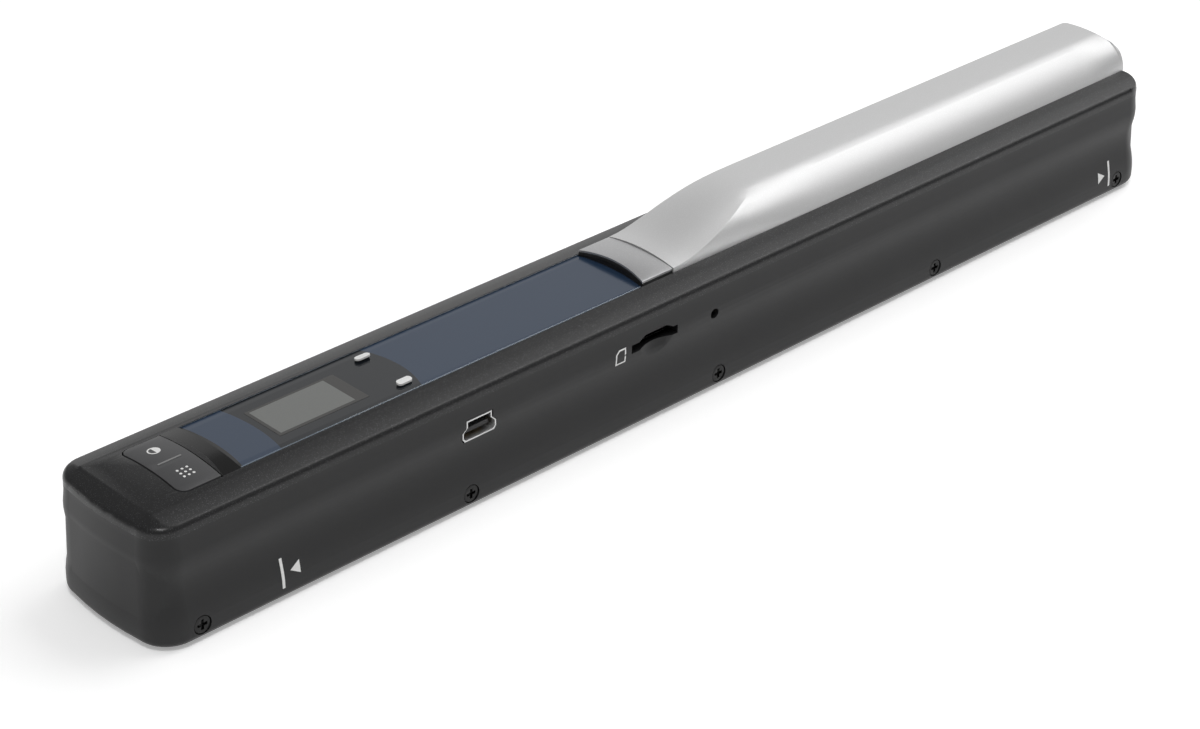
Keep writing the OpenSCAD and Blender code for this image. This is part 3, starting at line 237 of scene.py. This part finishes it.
metals = {
    "brightSteel": {"color": (0.55, 0.55, 0.56), "rough": 0.28, "stretch": (0.06, 1, 1)},
    "blackScrew": {"color": (0.035, 0.035, 0.035), "rough": 0.35, "stretch": (1, 1, 1)},
    "nickelPlate": {"color": (0.62, 0.59, 0.52), "rough": 0.3, "stretch": (1, 0.1, 1)},
    "socketSteel": {"color": (0.6, 0.6, 0.6), "rough": 0.32, "stretch": (1, 0.08, 1)},
    "goldPlate": {"color": (0.72, 0.5, 0.2), "rough": 0.25, "stretch": (1, 1, 1)},
}
metalLines = {"size": 0.35, "dark": 0.85, "light": 1.12, "lineRough": 0.15, "depth": 0.003}
silverLacquer = {"color": (0.64, 0.64, 0.64, 1), "flake": (0.68, 0.68, 0.685, 1), "flakeSize": 0.09,
                 "flakeShare": 0.14, "rough": 0.4, "metal": 0.5}
# The button's side colour is painted shade: its sides under the crown are painted near black, where the gap
# round it lies in shade
buttonMetal = {"color": (0.48, 0.48, 0.485, 1), "flake": (0.6, 0.6, 0.605, 1), "flakeSize": 0.07,
               "flakeShare": 0.08, "rough": 0.3, "metal": 0.85, "side": (0.02, 0.02, 0.02, 1),
               "domeFoot": -20.879, "domeRadius": 46.3}
silverSkin = {"size": 0.3, "skinRough": 0.08, "depth": 0.003}
darkPaint = {"color": (0.011, 0.011, 0.0115, 1), "flake": (0.13, 0.13, 0.135, 1), "flakeSize": 0.08,
             "flakeShare": 0.04, "flakeCover": 0.8, "flakeMetal": 0.9, "rough": 0.33, "shine": 0.36,
             "skin": 0.22, "skinRough": 0.1, "depth": 0.006, "bar": (0.004, 0.004, 0.004, 1),
             "barRough": -0.2, "barLeft": -108.3, "barRight": -104.6, "bow": 1.1, "halfWidth": 8.5}
# The pane's pale edge colour and edge cover are a painted highlight along its long edges
tintedPane = {"color": (0.02, 0.035, 0.07, 1), "rough": 0.05, "cover": 0.0, "edgeColor": (0.25, 0.3, 0.36, 1),
              "edgeCover": 0.5, "edgeFrom": 8.22, "ior": 1.5}
windowInk = {"navy": (0.018, 0.036, 0.07, 1), "panel": (0.006, 0.008, 0.011, 1),
             "black": (0.003, 0.003, 0.003, 1), "left": -104.2, "bow": 1.05, "panelLeft": -96.2,
             "panelRight": -65.3, "panelBow": 1.9, "halfWidth": 8.5, "rough": 0.12, "cloud": 9,
             "cloudRough": 0.04, "ior": 1.5}
display = {"color": (0.15, 0.155, 0.148, 1), "border": (0.035, 0.034, 0.032, 1), "rough": 0.2,
           "x": (-94.2, -78.4), "y": (-4.2, 4.4), "cell": 0.25, "cellRough": 0.05, "dark": 0.9, "ior": 1.5}
clearRod = {"color": (0.9, 0.93, 0.93, 1), "rough": 0.12, "through": 0.7, "ior": 1.49}
scanGlass = {"color": (0.75, 0.85, 0.83, 1), "rough": 0.03, "through": 0.9, "ior": 1.49}
haze = {"size": 6, "least": 0.8, "more": 0.4}


def shaded(color, share):
    return tuple(min(1, part * share) for part in color[:3]) + (1,)


def mouldedPlastic(name, facts):
    finish = Finish(name)
    fine = finish.grain(facts["grain"], 3)
    cloudy = finish.grain(mouldedLook["cloud"])
    dark, light = (shaded(facts["color"], mouldedLook[tone]) for tone in ("dark", "light"))
    rough = facts["rough"] + mouldedLook["cloudRough"] * (cloudy - 0.5)
    rough = rough + mouldedLook["fineRough"] * (fine - 0.5)
    return finish.coat(Base_Color=finish.blend(fine, dark, light), Roughness=rough, IOR=mouldedLook["ior"],
                       Specular_IOR_Level=facts.get("shine", mouldedLook["shine"]),
                       Normal=finish.bumped(fine, facts["depth"]))


def metal(name, facts):
    finish = Finish(name)
    lines = finish.grain(metalLines["size"], 3, facts["stretch"])
    dark, light = (shaded(facts["color"], metalLines[tone]) for tone in ("dark", "light"))
    rough = facts["rough"] + metalLines["lineRough"] * (lines - 0.5)
    return finish.coat(Base_Color=finish.blend(lines, dark, light), Metallic=1.0, Roughness=rough,
                       Normal=finish.bumped(lines, metalLines["depth"]))


# Silver paint: small bright flakes under a satin lacquer
def silver(name, facts):
    finish = Finish(name)
    fleck = finish.specks(facts["flakeSize"]) < facts["flakeShare"]
    skin = finish.grain(silverSkin["size"])
    color = finish.blend(fleck, facts["color"], facts["flake"])
    metallic = facts["metal"]
    if "side" in facts:    # the button's sides under its crown are painted near black: painted shade, for the dark gap round the button
        radius = (finish.along("Y") ** 2 + (finish.along("Z") - facts["domeFoot"]) ** 2) ** 0.5
        crown = radius > facts["domeRadius"]
        color = finish.blend(crown, facts["side"], color)
        metallic = crown * facts["metal"]
    rough = facts["rough"] + silverSkin["skinRough"] * (skin - 0.5)
    return finish.coat(Base_Color=color, Metallic=metallic, Roughness=rough,
                       Normal=finish.bumped(skin, silverSkin["depth"]))


# Dark paint with a fine sparkle
def sparkle(name, facts):
    finish = Finish(name)
    bowed = finish.along("X") + facts["bow"] / facts["halfWidth"] ** 2 * finish.along("Y") ** 2
    inside = abs(finish.along("Y")) < facts["halfWidth"]
    bar = (bowed > facts["barLeft"]) * (bowed < facts["barRight"]) * inside    # glossy black beside the key
    random = finish.specks(facts["flakeSize"])
    fleck = (random < facts["flakeShare"]) * (1 - bar) * facts["flakeCover"]
    skin = finish.grain(facts["skin"], 3)
    color = finish.blend(bar, facts["color"], facts["bar"])
    rough = facts["rough"] + facts["barRough"] * bar + facts["skinRough"] * (skin - 0.5)
    color = finish.blend(fleck, color, facts["flake"])
    return finish.coat(Base_Color=color, Metallic=fleck * facts["flakeMetal"], Roughness=rough,
                       Specular_IOR_Level=facts["shine"], Normal=finish.bumped(skin, facts["depth"]))


# The roughness of a clear piece, with a faint haze
def hazy(finish, rough):
    return rough * (haze["least"] + haze["more"] * finish.grain(haze["size"]))


# A clear pane: the glossy ink close under it gives its shine. Its polished long edges are painted pale and
# half clear, a painted highlight along them
def tinted(name, facts):
    finish = Finish(name)
    edge = abs(finish.along("Y")) > facts["edgeFrom"]
    return finish.coat(Base_Color=finish.blend(edge, facts["color"], facts["edgeColor"]),
                       Roughness=hazy(finish, facts["rough"]), IOR=facts["ior"],
                       Alpha=facts["cover"] + edge * (facts["edgeCover"] - facts["cover"]))


# The ink on the window's back: navy, with a dark panel round the display and black up to the bowed left edge
def inked(name, facts):
    finish = Finish(name)
    arch = finish.along("Y") ** 2 * (1 / facts["halfWidth"] ** 2)
    bowed = finish.along("X") + facts["bow"] * arch
    panelEnd = finish.along("X") + facts["panelBow"] * arch
    panel = (bowed > facts["panelLeft"]) * (panelEnd < facts["panelRight"])
    color = finish.blend(panel, facts["navy"], facts["panel"])
    cloudy = finish.grain(facts["cloud"])
    return finish.coat(Base_Color=finish.blend(bowed < facts["left"], color, facts["black"]),
                       Roughness=facts["rough"] + facts["cloudRough"] * cloudy, IOR=facts["ior"])


def clear(name, facts):
    finish = Finish(name)
    return finish.coat(Base_Color=facts["color"], Roughness=hazy(finish, facts["rough"]), IOR=facts["ior"],
                       Transmission_Weight=facts["through"])


# The display's own field, with a dark border round it
def displayGrey(name, facts):
    finish = Finish(name)
    cells = finish.grain(facts["cell"], 1)
    low, high = facts["x"]
    near, far = facts["y"]
    across, deep = finish.along("X"), finish.along("Y")
    lit = (across > low) * (across < high) * (deep > near) * (deep < far)
    field = finish.blend(cells, shaded(facts["color"], facts["dark"]), facts["color"])
    return finish.coat(Base_Color=finish.blend(lit, facts["border"], field),
                       Roughness=facts["rough"] + facts["cellRough"] * cells, IOR=facts["ior"])


finishes = {name: mouldedPlastic(name, facts) for name, facts in moulded.items()}
finishes.update({name: metal(name, facts) for name, facts in metals.items()})
finishes["silverLacquer"] = silver("silverLacquer", silverLacquer)
finishes["darkPaint"] = sparkle("darkPaint", darkPaint)
finishes["buttonMetal"] = silver("buttonMetal", buttonMetal)
finishes["tintedPane"] = tinted("tintedPane", tintedPane)
finishes["windowInk"] = inked("windowInk", windowInk)
finishes["clearRod"] = clear("clearRod", clearRod)
finishes["scanGlass"] = clear("scanGlass", scanGlass)
finishes["displayGrey"] = displayGrey("displayGrey", display)
print("finishes made:", len(finishes))


# What each CAD node wears, also those that stay hidden inside
nodeFinishes = {
    "charcoalShell": ["main_housing"],
    "darkPaint": ["top_cover"],
    "blackFrame": ["bottom_frame", "battery_tray", "sensor_housing"],
    "greyKey": ["mode_key"],
    "silverLacquer": ["battery_cover"],
    "buttonMetal": ["scan_button"],
    "tintedPane": ["display_window"],
    "windowInk": ["window_tape", "display_mask"],
    "displayGrey": ["lcd_module"],
    "whitePart": ["lcd_holder", "status_leds", "led_light_pipes", "ribbon_connector", "roller_bushes",
                  "front_roller_hubs", "rear_roller_hubs", "drive_gear", "encoder_gear", "ribbon_cable"],
    "clearRod": ["light_guide", "rod_lens_array"],
    "scanGlass": ["sensor_glass"],
    "blackPart": ["mode_switches", "scan_switch", "reset_switch", "board_chips", "photo_interrupter",
                  "usb_tongue", "card_socket_base", "encoder_disc"],
    "creamPart": ["front_mode_plunger", "rear_mode_plunger", "scan_switch_plunger", "reset_plunger"],
    "cellSleeve": ["battery_cells"],
    "nickelPlate": ["battery_contacts", "battery_return_strip"],
    "redWire": ["battery_lead"],
    "brightSteel": ["tray_screws", "board_screws", "sensor_screws", "front_roller_shaft", "rear_roller_shaft",
                    "encoder_axle", "card_socket_cover"],
    "socketSteel": ["usb_shell"],
    "blackScrew": ["front_case_screws", "rear_case_screws"],
    "greenBoard": ["main_board", "sensor_board"],
    "goldPlate": ["usb_contacts"],
    "tyreRubber": ["front_roller_tyres", "rear_roller_tyres"],
}
worn = {}
for finishName, nodeNames in nodeFinishes.items():
    for nodeName in nodeNames:
        dress(frame["nodes"][nodeName], finishes[finishName])
        worn[nodeName] = finishName
print("nodes dressed:", len(worn), "of", len(frame["nodes"]))


# The body that each node belongs to, as the part's record gives it
bodyOf = {}
for bodyName, nodeNames in frame["record"]["behaviour"]["bodies"].items():
    for nodeName in nodeNames:
        bodyOf[nodeName] = bodyName

# Smooth copies of the pieces that show: their triangles are merged, shaded round, and their edges broken.
# Widths are in millimetres, and faces that meet at less than "round" degrees are shaded as one surface
merging = {"first": 0.004, "last": 0.001, "flatAngle": 0.4, "sharpAngle": 50, "weight": 60}
smoothCopies = {
    "housing_shell": {"node": "main_housing", "edge": 0.1, "round": 50, "flat": True},
    "top_shell": {"node": "top_cover", "edge": 0.09, "round": 32, "flat": True},
    "base_frame": {"node": "bottom_frame", "edge": 0.08, "round": 32},
    "window_pane": {"node": "display_window", "edge": 0.12, "round": 25},
    "rocker_key": {"node": "mode_key", "edge": 0.25, "round": 30, "steps": 3},
    "button_cap": {"node": "scan_button", "edge": 0.45, "round": 30, "steps": 4},
    "cell_cover": {"node": "battery_cover", "crease": 0.12, "round": 14, "flat": True},
    "front_screw_heads": {"node": "front_case_screws", "edge": 0.06, "round": 30},
    "rear_screw_heads": {"node": "rear_case_screws", "edge": 0.06, "round": 30},
    "socket_shell": {"node": "usb_shell", "edge": 0.04, "round": 30},
    "socket_tongue": {"node": "usb_tongue", "edge": 0.05, "round": 30},
    "front_tyres": {"node": "front_roller_tyres", "edge": 0.25, "round": 40},
    "rear_tyres": {"node": "rear_roller_tyres", "edge": 0.25, "round": 40},
    "glass_strip": {"node": "sensor_glass", "edge": 0.08, "round": 30},
    "scan_bar": {"node": "sensor_housing", "edge": 0.1, "round": 30},
}


# The cover's front flank is an arc. It is drawn towards its chord, section by section, so that it meets the
# top at a crease. A section keeps a share of its arch, from keepFrom at both ends to keepTo in between
flank = {"foot": (-8.5, 24.09), "middle": (-2.6, 24.09), "radius": 5.9, "near": 0.02, "past": 0.3,
         "least": 0.5, "cuts": (17.5, 19, 21, 23.5, 27, 31, 36, 116, 119, 121.5, 123.5), "from": 14, "to": 34,
         "last": 125, "turn": 9, "keepFrom": 0.85, "keepTo": 0.38}


# The points of one section share this place
def sectionOf(co):
    return round(co.x * perMetre, 2)


def onFlank(co):
    away = math.hypot(co.y * perMetre - flank["middle"][0], co.z * perMetre - flank["middle"][1])
    return abs(away - flank["radius"]) < flank["near"] and co.y < mm(flank["middle"][0]) + mm(flank["past"])


def creaseFlank(piece):
    for cut in flank["cuts"]:
        edit(piece)
        bpy.ops.mesh.select_all(action="SELECT")
        bpy.ops.mesh.bisect(plane_co=mm(cut, 0, 0), plane_no=(1, 0, 0))
    leave()
    rows = {}
    for point in piece.data.vertices:
        if onFlank(point.co):
            rows.setdefault(sectionOf(point.co), []).append(point.co * perMetre)
    for place, row in rows.items():
        top = max(row, key=lambda co: co.z)
        rise = top.z - flank["foot"][1]
        if rise < flank["least"]:
            continue
        slope = math.atan2(rise, top.y - flank["foot"][0])
        choose(piece, lambda co: onFlank(co) and sectionOf(co) == place)
        across = Matrix.Rotation(slope, 3, "X")
        share = (place - flank["from"]) / (flank["to"] - flank["from"])
        share = max(0, min(1, share, (flank["last"] - place) / flank["turn"]))
        keep = flank["keepFrom"] + (flank["keepTo"] - flank["keepFrom"]) * share
        bpy.ops.transform.resize(value=(1, 1, keep), orient_type="GLOBAL", orient_matrix=across,
                                 orient_matrix_type="GLOBAL", constraint_axis=(False, False, True),
                                 center_override=(0, mm(flank["foot"][0]), mm(flank["foot"][1])))
    leave()
    print("flank sections:", len(rows))


# Selects the cover's long front crease: lengthwise lines on its outside, where two faces meet at an angle
crease = {"sharpness": 11, "front": -2.5, "low": 24.35, "slant": 2}


def chooseCrease(piece):
    edit(piece, "EDGE")
    bpy.ops.mesh.edges_select_sharp(sharpness=math.radians(crease["sharpness"]))
    leave()
    points = piece.data.vertices
    kept = []
    for line in piece.data.edges:
        first, last = (points[number] for number in line.vertices)
        along = last.co - first.co
        middle = (first.co + last.co) / 2
        lengthwise = abs(along.x) > crease["slant"] * abs(along.y) and abs(along.x) > abs(along.z)
        inFront = middle.y < mm(crease["front"]) and middle.z > mm(crease["low"])
        if line.select and lengthwise and inFront and first.normal.z + last.normal.z > 0:
            kept.append(line.index)
    selectNothing(piece)
    for number in kept:
        piece.data.edges[number].select = True
    bpy.ops.object.mode_set(mode="EDIT")
    bpy.ops.mesh.select_mode(type="EDGE")
    return len(kept)


def smoothCopy(name, facts):
    source = frame["nodes"][facts["node"]]
    piece = bpy.data.objects.new(name, source.data.copy())
    bpy.context.collection.objects.link(piece)
    pick(piece)
    bpy.ops.mesh.customdata_custom_splitnormals_clear()
    edit(piece)
    bpy.ops.mesh.select_all(action="SELECT")
    bpy.ops.mesh.remove_doubles(threshold=mm(merging["first"]))
    bpy.ops.mesh.dissolve_limited(angle_limit=math.radians(merging["flatAngle"]))
    leave()
    if "crease" in facts:
        creaseFlank(piece)
        print("crease lines:", chooseCrease(piece))
        bpy.ops.mesh.bevel(offset=mm(facts["crease"]), segments=2, affect="EDGES", clamp_overlap=True)
        leave()
    if "edge" in facts:
        applied(piece, "BEVEL", width=mm(facts["edge"]), segments=facts.get("steps", 2), limit_method="ANGLE",
                angle_limit=math.radians(merging["sharpAngle"]), use_clamp_overlap=True)
    edit(piece)
    bpy.ops.mesh.select_all(action="SELECT")
    bpy.ops.mesh.remove_doubles(threshold=mm(merging["last"]))
    leave()
    bpy.ops.object.shade_smooth_by_angle(angle=math.radians(facts["round"]))
    if facts.get("flat"):    # large faces keep their own normals, so the long walls stay calm
        applied(piece, "WEIGHTED_NORMAL", keep_sharp=True, weight=merging["weight"])
    dress(piece, finishes[worn[facts["node"]]])
    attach(piece, bodyOf[facts["node"]])
    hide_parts(facts["node"])
    return piece


copies = {name: smoothCopy(name, facts) for name, facts in smoothCopies.items()}
print("smooth copies:", len(copies))


# Flat shapes start before the front wall or above the top. They are then laid on the piece they mark, and
# given the thickness of print
printFrom = {"front": -16.5, "top": 30, "thick": 0.02}


def patch(name, x, z, width, height, cuts=5):
    bpy.ops.object.select_all(action="DESELECT")
    bpy.ops.mesh.primitive_plane_add(size=1, location=mm(x, printFrom["front"], z),
                                     rotation=(math.pi / 2, 0, 0))
    piece = bpy.context.object
    piece.name = name
    piece.scale = (mm(width), mm(height), 1)
    atOrigin(piece)
    edit(piece)
    bpy.ops.mesh.select_all(action="SELECT")
    if cuts:
        bpy.ops.mesh.subdivide(number_cuts=cuts)
    leave()
    return piece


# A patch whose side at tipX is drawn together to one point, and then divided
def arrowPatch(name, tipX, backX, z, height, cuts=3):
    piece = patch(name, (tipX + backX) / 2, z, abs(tipX - backX), height, 0)
    choose(piece, lambda co: abs(co.x - mm(tipX)) < mm(nearby))
    bpy.ops.mesh.merge(type="CENTER")
    bpy.ops.mesh.select_all(action="SELECT")
    bpy.ops.mesh.poke()
    bpy.ops.mesh.subdivide(number_cuts=cuts)
    leave()
    return piece


def joined(name, pieces):
    pick(pieces[0])
    for piece in pieces:
        piece.select_set(True)
    bpy.ops.object.join()
    pieces[0].name = name
    return pieces[0]


def printed(piece, target, direction, body, material, thick=printFrom["thick"]):
    settings = {"use_project_y": direction == "Y", "use_project_z": direction == "Z"}
    applied(piece, "SHRINKWRAP", target=target, wrap_method="PROJECT", use_negative_direction=True,
            use_positive_direction=True, offset=0, **settings)
    applied(piece, "SOLIDIFY", thickness=mm(thick), offset=1)
    atOrigin(piece)
    dress(piece, material)
    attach(piece, body)
    return piece


scanMarks = {"barWidth": 0.55, "barLength": 5.5, "leftBar": -103.3, "leftTip": -101.7, "leftBack": -99.7,
             "rightBar": 116.2, "rightTip": 114.7, "rightBack": 112.6, "z": 5.6, "arrowHeight": 2.4}
for side in ("left", "right"):
    bar = patch(side + "Bar", scanMarks[side + "Bar"], scanMarks["z"], scanMarks["barWidth"],
                scanMarks["barLength"])
    arrow = arrowPatch(side + "Arrow", scanMarks[side + "Tip"], scanMarks[side + "Back"], scanMarks["z"],
                       scanMarks["arrowHeight"])
    mark = joined(side + "_scan_mark", [bar, arrow])
    printed(mark, copies["housing_shell"], "Y", "housing", finishes["whitePrint"])

cardMark = {"x": -26.0, "z": 16.3, "width": 2.5, "height": 3.0, "line": 0.3, "corner": 0.8, "cuts": 2}
card = patch("card_mark", cardMark["x"], cardMark["z"], cardMark["width"], cardMark["height"], 0)
choose(card, lambda co: co.x < mm(cardMark["x"]) and co.z > mm(cardMark["z"]))
bpy.ops.mesh.bevel(offset=mm(cardMark["corner"]), affect="VERTICES")
bpy.ops.mesh.select_all(action="SELECT")
bpy.ops.mesh.inset(thickness=mm(cardMark["line"]))
bpy.ops.mesh.delete(type="ONLY_FACE")
bpy.ops.mesh.select_all(action="SELECT")
bpy.ops.mesh.subdivide(number_cuts=cardMark["cuts"])
leave()
printed(card, copies["housing_shell"], "Y", "housing", finishes["whitePrint"])


# Generic signs on the rocker key: a half-filled ring for tone, dots for fineness, and the rib between them.
# The rib is a real raised line, and its pale grey is a painted highlight along it
keySigns = {"x": -113.65, "y": 4.3, "ring": 1.15, "line": 0.26, "points": 32, "dot": 0.24, "dotPoints": 14,
            "pitch": 0.95, "ribLength": 4.6, "ribWidth": 0.35, "ribThick": 0.06, "ribCuts": 3}


def disc(name, x, y, radius, points):
    bpy.ops.object.select_all(action="DESELECT")
    bpy.ops.mesh.primitive_circle_add(vertices=points, radius=mm(radius), fill_type="NGON",
                                      location=mm(x, y, printFrom["top"]))
    piece = bpy.context.object
    piece.name = name
    atOrigin(piece)
    return piece


ring = disc("ring", keySigns["x"], keySigns["y"], keySigns["ring"], keySigns["points"])
edit(ring, "FACE")
bpy.ops.mesh.select_all(action="SELECT")
bpy.ops.mesh.inset(thickness=mm(keySigns["line"]))
bpy.ops.mesh.delete(type="FACE")
leave()
half = disc("half", keySigns["x"], keySigns["y"], keySigns["ring"] - keySigns["line"] / 2, keySigns["points"])
edit(half)
bpy.ops.mesh.select_all(action="SELECT")
bpy.ops.mesh.bisect(plane_co=mm(keySigns["x"], 0, 0), plane_no=(1, 0, 0), clear_inner=True)
leave()
dots = []
for across in (-1, 0, 1):
    for deep in (-1, 0, 1):
        dots.append(disc("dot", keySigns["x"] + keySigns["pitch"] * across,
                         -keySigns["y"] + keySigns["pitch"] * deep, keySigns["dot"],
                         keySigns["dotPoints"]))
keyPrint = joined("key_signs", [ring, half] + dots)
printed(keyPrint, copies["rocker_key"], "Z", "mode_key", finishes["whitePrint"])
bpy.ops.object.select_all(action="DESELECT")
bpy.ops.mesh.primitive_plane_add(size=1, location=mm(keySigns["x"], 0, printFrom["top"]))
rib = bpy.context.object
rib.name = "key_rib"
rib.scale = (mm(keySigns["ribLength"]), mm(keySigns["ribWidth"]), 1)
atOrigin(rib)
edit(rib)
bpy.ops.mesh.select_all(action="SELECT")
bpy.ops.mesh.subdivide(number_cuts=keySigns["ribCuts"])
leave()
printed(rib, copies["rocker_key"], "Z", "mode_key", finishes["ribPaintedHighlight"], keySigns["ribThick"])
print("signs laid")


# Ink under the window, in three slices of its own outline, the middle one round the display. It lies close
# under the surface, where the thick clear pane makes it seem to be
film = {"cuts": (-98.0, -64.9), "down": 0.25, "top": 24.05}


def filmPart(name, left, right):
    source = frame["nodes"]["display_window"]
    piece = bpy.data.objects.new(name, source.data.copy())
    bpy.context.collection.objects.link(piece)
    pick(piece)
    bpy.ops.mesh.customdata_custom_splitnormals_clear()
    edit(piece)
    bpy.ops.mesh.select_all(action="SELECT")
    bpy.ops.mesh.remove_doubles(threshold=mm(merging["first"]))
    level = film["top"] + film["down"]
    choose(piece, lambda co: co.z > mm(level))    # the crown is pressed flat
    bpy.ops.transform.resize(value=(1, 1, 0), center_override=mm(0, 0, level))
    for cut, away in ((left, -1), (right, 1)):
        if cut is not None:
            bpy.ops.mesh.select_all(action="SELECT")
            bpy.ops.mesh.bisect(plane_co=mm(cut, 0, 0), plane_no=(away, 0, 0), clear_outer=True,
                                use_fill=True)
    bpy.ops.mesh.select_all(action="SELECT")
    bpy.ops.transform.translate(value=mm(0, 0, -film["down"]))
    leave()
    bpy.ops.object.shade_flat()
    return piece


def laid(piece, node, finish):
    dress(piece, finish)
    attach(piece, "housing")
    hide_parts(node)
    return piece


windowFilm = joined("window_film", [filmPart("filmLeft", None, film["cuts"][0]),
                                    filmPart("filmRight", film["cuts"][1], None)])
laid(windowFilm, "window_tape", finishes["windowInk"])
panel = filmPart("display_panel", film["cuts"][0], film["cuts"][1])
laid(panel, "display_mask", finishes["windowInk"])

# The display's glass lies in the panel, and two light pipes come up through the window
glass = {"x": (-94.9, -75.9), "y": (-4.9, 4.95), "z": (23.95, 24.1), "edge": 0.03}
bpy.ops.object.select_all(action="DESELECT")
bpy.ops.mesh.primitive_cube_add(size=1, location=mm(*(sum(glass[axis]) / 2 for axis in "xyz")))
displayGlass = bpy.context.object
displayGlass.name = "display_glass"
displayGlass.scale = mm(*(glass[axis][1] - glass[axis][0] for axis in "xyz"))
atOrigin(displayGlass)
applied(displayGlass, "BEVEL", width=mm(glass["edge"]), segments=1, limit_method="ANGLE",
        angle_limit=math.radians(merging["sharpAngle"]))
laid(displayGlass, "lcd_module", finishes["displayGrey"])
pipes = {"x": -68.8, "y": 5.55, "length": 3.1, "width": 1.35, "points": 28, "drop": 0.35, "proud": 0.04}
pills = []
for side in (-1, 1):    # a disc whose right half is drawn out to the right
    leftEnd = pipes["x"] - pipes["length"] / 2 + pipes["width"] / 2
    pill = disc("pill", leftEnd, side * pipes["y"], pipes["width"] / 2, pipes["points"])
    choose(pill, lambda co: co.x > mm(leftEnd) + mm(nearby))
    bpy.ops.transform.translate(value=mm(pipes["length"] - pipes["width"], 0, 0))
    leave()
    pills.append(pill)
lightPipes = joined("light_pipes", pills)
applied(lightPipes, "SHRINKWRAP", target=copies["window_pane"], wrap_method="PROJECT", use_project_z=True,
        use_negative_direction=True, use_positive_direction=True)
edit(lightPipes)
bpy.ops.mesh.select_all(action="SELECT")
bpy.ops.transform.translate(value=mm(0, 0, pipes["proud"]))
bpy.ops.mesh.extrude_region_move(TRANSFORM_OT_translate={"value": mm(0, 0, -pipes["drop"])})
bpy.ops.mesh.select_all(action="SELECT")
bpy.ops.mesh.normals_make_consistent(inside=False)
leave()
laid(lightPipes, "led_light_pipes", finishes["whitePrint"])
print("window laid")


# Pale floor that keeps the shadow. Seen straight, in gloss or through the pane, it is lifted to white
floorFacts = {"color": (0.955, 0.955, 0.955, 1), "rough": 0.9, "lift": 0.28, "size": 14}
bpy.ops.object.select_all(action="DESELECT")
bpy.ops.mesh.primitive_plane_add(size=floorFacts["size"], location=(0, 0, 0))
floor = bpy.context.object
floor.name = "floor"
floorFinish = Finish("paleFloor")
straight = floorFinish.node("LightPath", out="Is Camera Ray")
inGloss = floorFinish.node("LightPath", out="Is Glossy Ray")
throughGlass = floorFinish.node("LightPath", out="Is Transmission Ray")
seen = (straight + inGloss + throughGlass).least(1.0)
lift = floorFinish.blend(seen, (0, 0, 0, 1), (floorFacts["lift"],) * 3 + (1,))
dress(floor, floorFinish.coat(Base_Color=floorFacts["color"], Roughness=floorFacts["rough"],
                              Specular_IOR_Level=0.0, Emission_Color=lift, Emission_Strength=1.0))


# Plain soft studio light
sky = {"color": (0.33, 0.33, 0.33, 1)}
world = bpy.data.worlds.new("studio")
bpy.context.scene.world = world
world.use_nodes = True
world.node_tree.nodes["Background"].inputs["Color"].default_value = sky["color"]
world.node_tree.nodes["Background"].inputs["Strength"].default_value = 1.0
lamps = {
    "rightSoftbox": {"place": (0.87, -0.14, 1.05), "size": 1.1, "power": 8.5},
    "rearSoftbox": {"place": (0.95, 1.13, 0.55), "size": 1.1, "power": 1.7},
    "highLamp": {"place": (-0.43, -0.41, 1.02), "size": 0.2, "power": 4.0},
}
for lampName, facts in lamps.items():
    lamp = bpy.data.lights.new(lampName, "AREA")
    lamp.size = facts["size"]
    lamp.energy = facts["power"]
    holder = bpy.data.objects.new(lampName, lamp)
    holder.location = facts["place"]
    holder.rotation_euler = (-Vector(facts["place"])).to_track_quat("-Z", "Y").to_euler()
    bpy.context.collection.objects.link(holder)


# The camera stands where the photograph was taken from. Its place is in millimetres, near and far in metres
cameraFacts = {"right": (0.721639175, -0.692164359, 0.012058233),
               "down": (-0.338059503, -0.367548625, -0.866385469),
               "forward": (0.604113129, 0.621141295, -0.499230226), "place": (-339.842, -331.776, 271.865),
               "lens": 86.73, "sensor": 36, "near": 0.02, "far": 40}
cameraData = bpy.data.cameras.new("photoCamera")
cameraData.sensor_width = cameraFacts["sensor"]
cameraData.lens = cameraFacts["lens"]
cameraData.clip_start = cameraFacts["near"]
cameraData.clip_end = cameraFacts["far"]
camera = bpy.data.objects.new("photoCamera", cameraData)
bpy.context.collection.objects.link(camera)
up = [-part for part in cameraFacts["down"]]
back = [-part for part in cameraFacts["forward"]]
axes = Matrix((cameraFacts["right"], up, back)).transposed()
camera.matrix_world = Matrix.Translation(mm(*cameraFacts["place"])) @ axes.to_4x4()
bpy.context.scene.camera = camera
bpy.context.scene.view_settings.view_transform = "Standard"
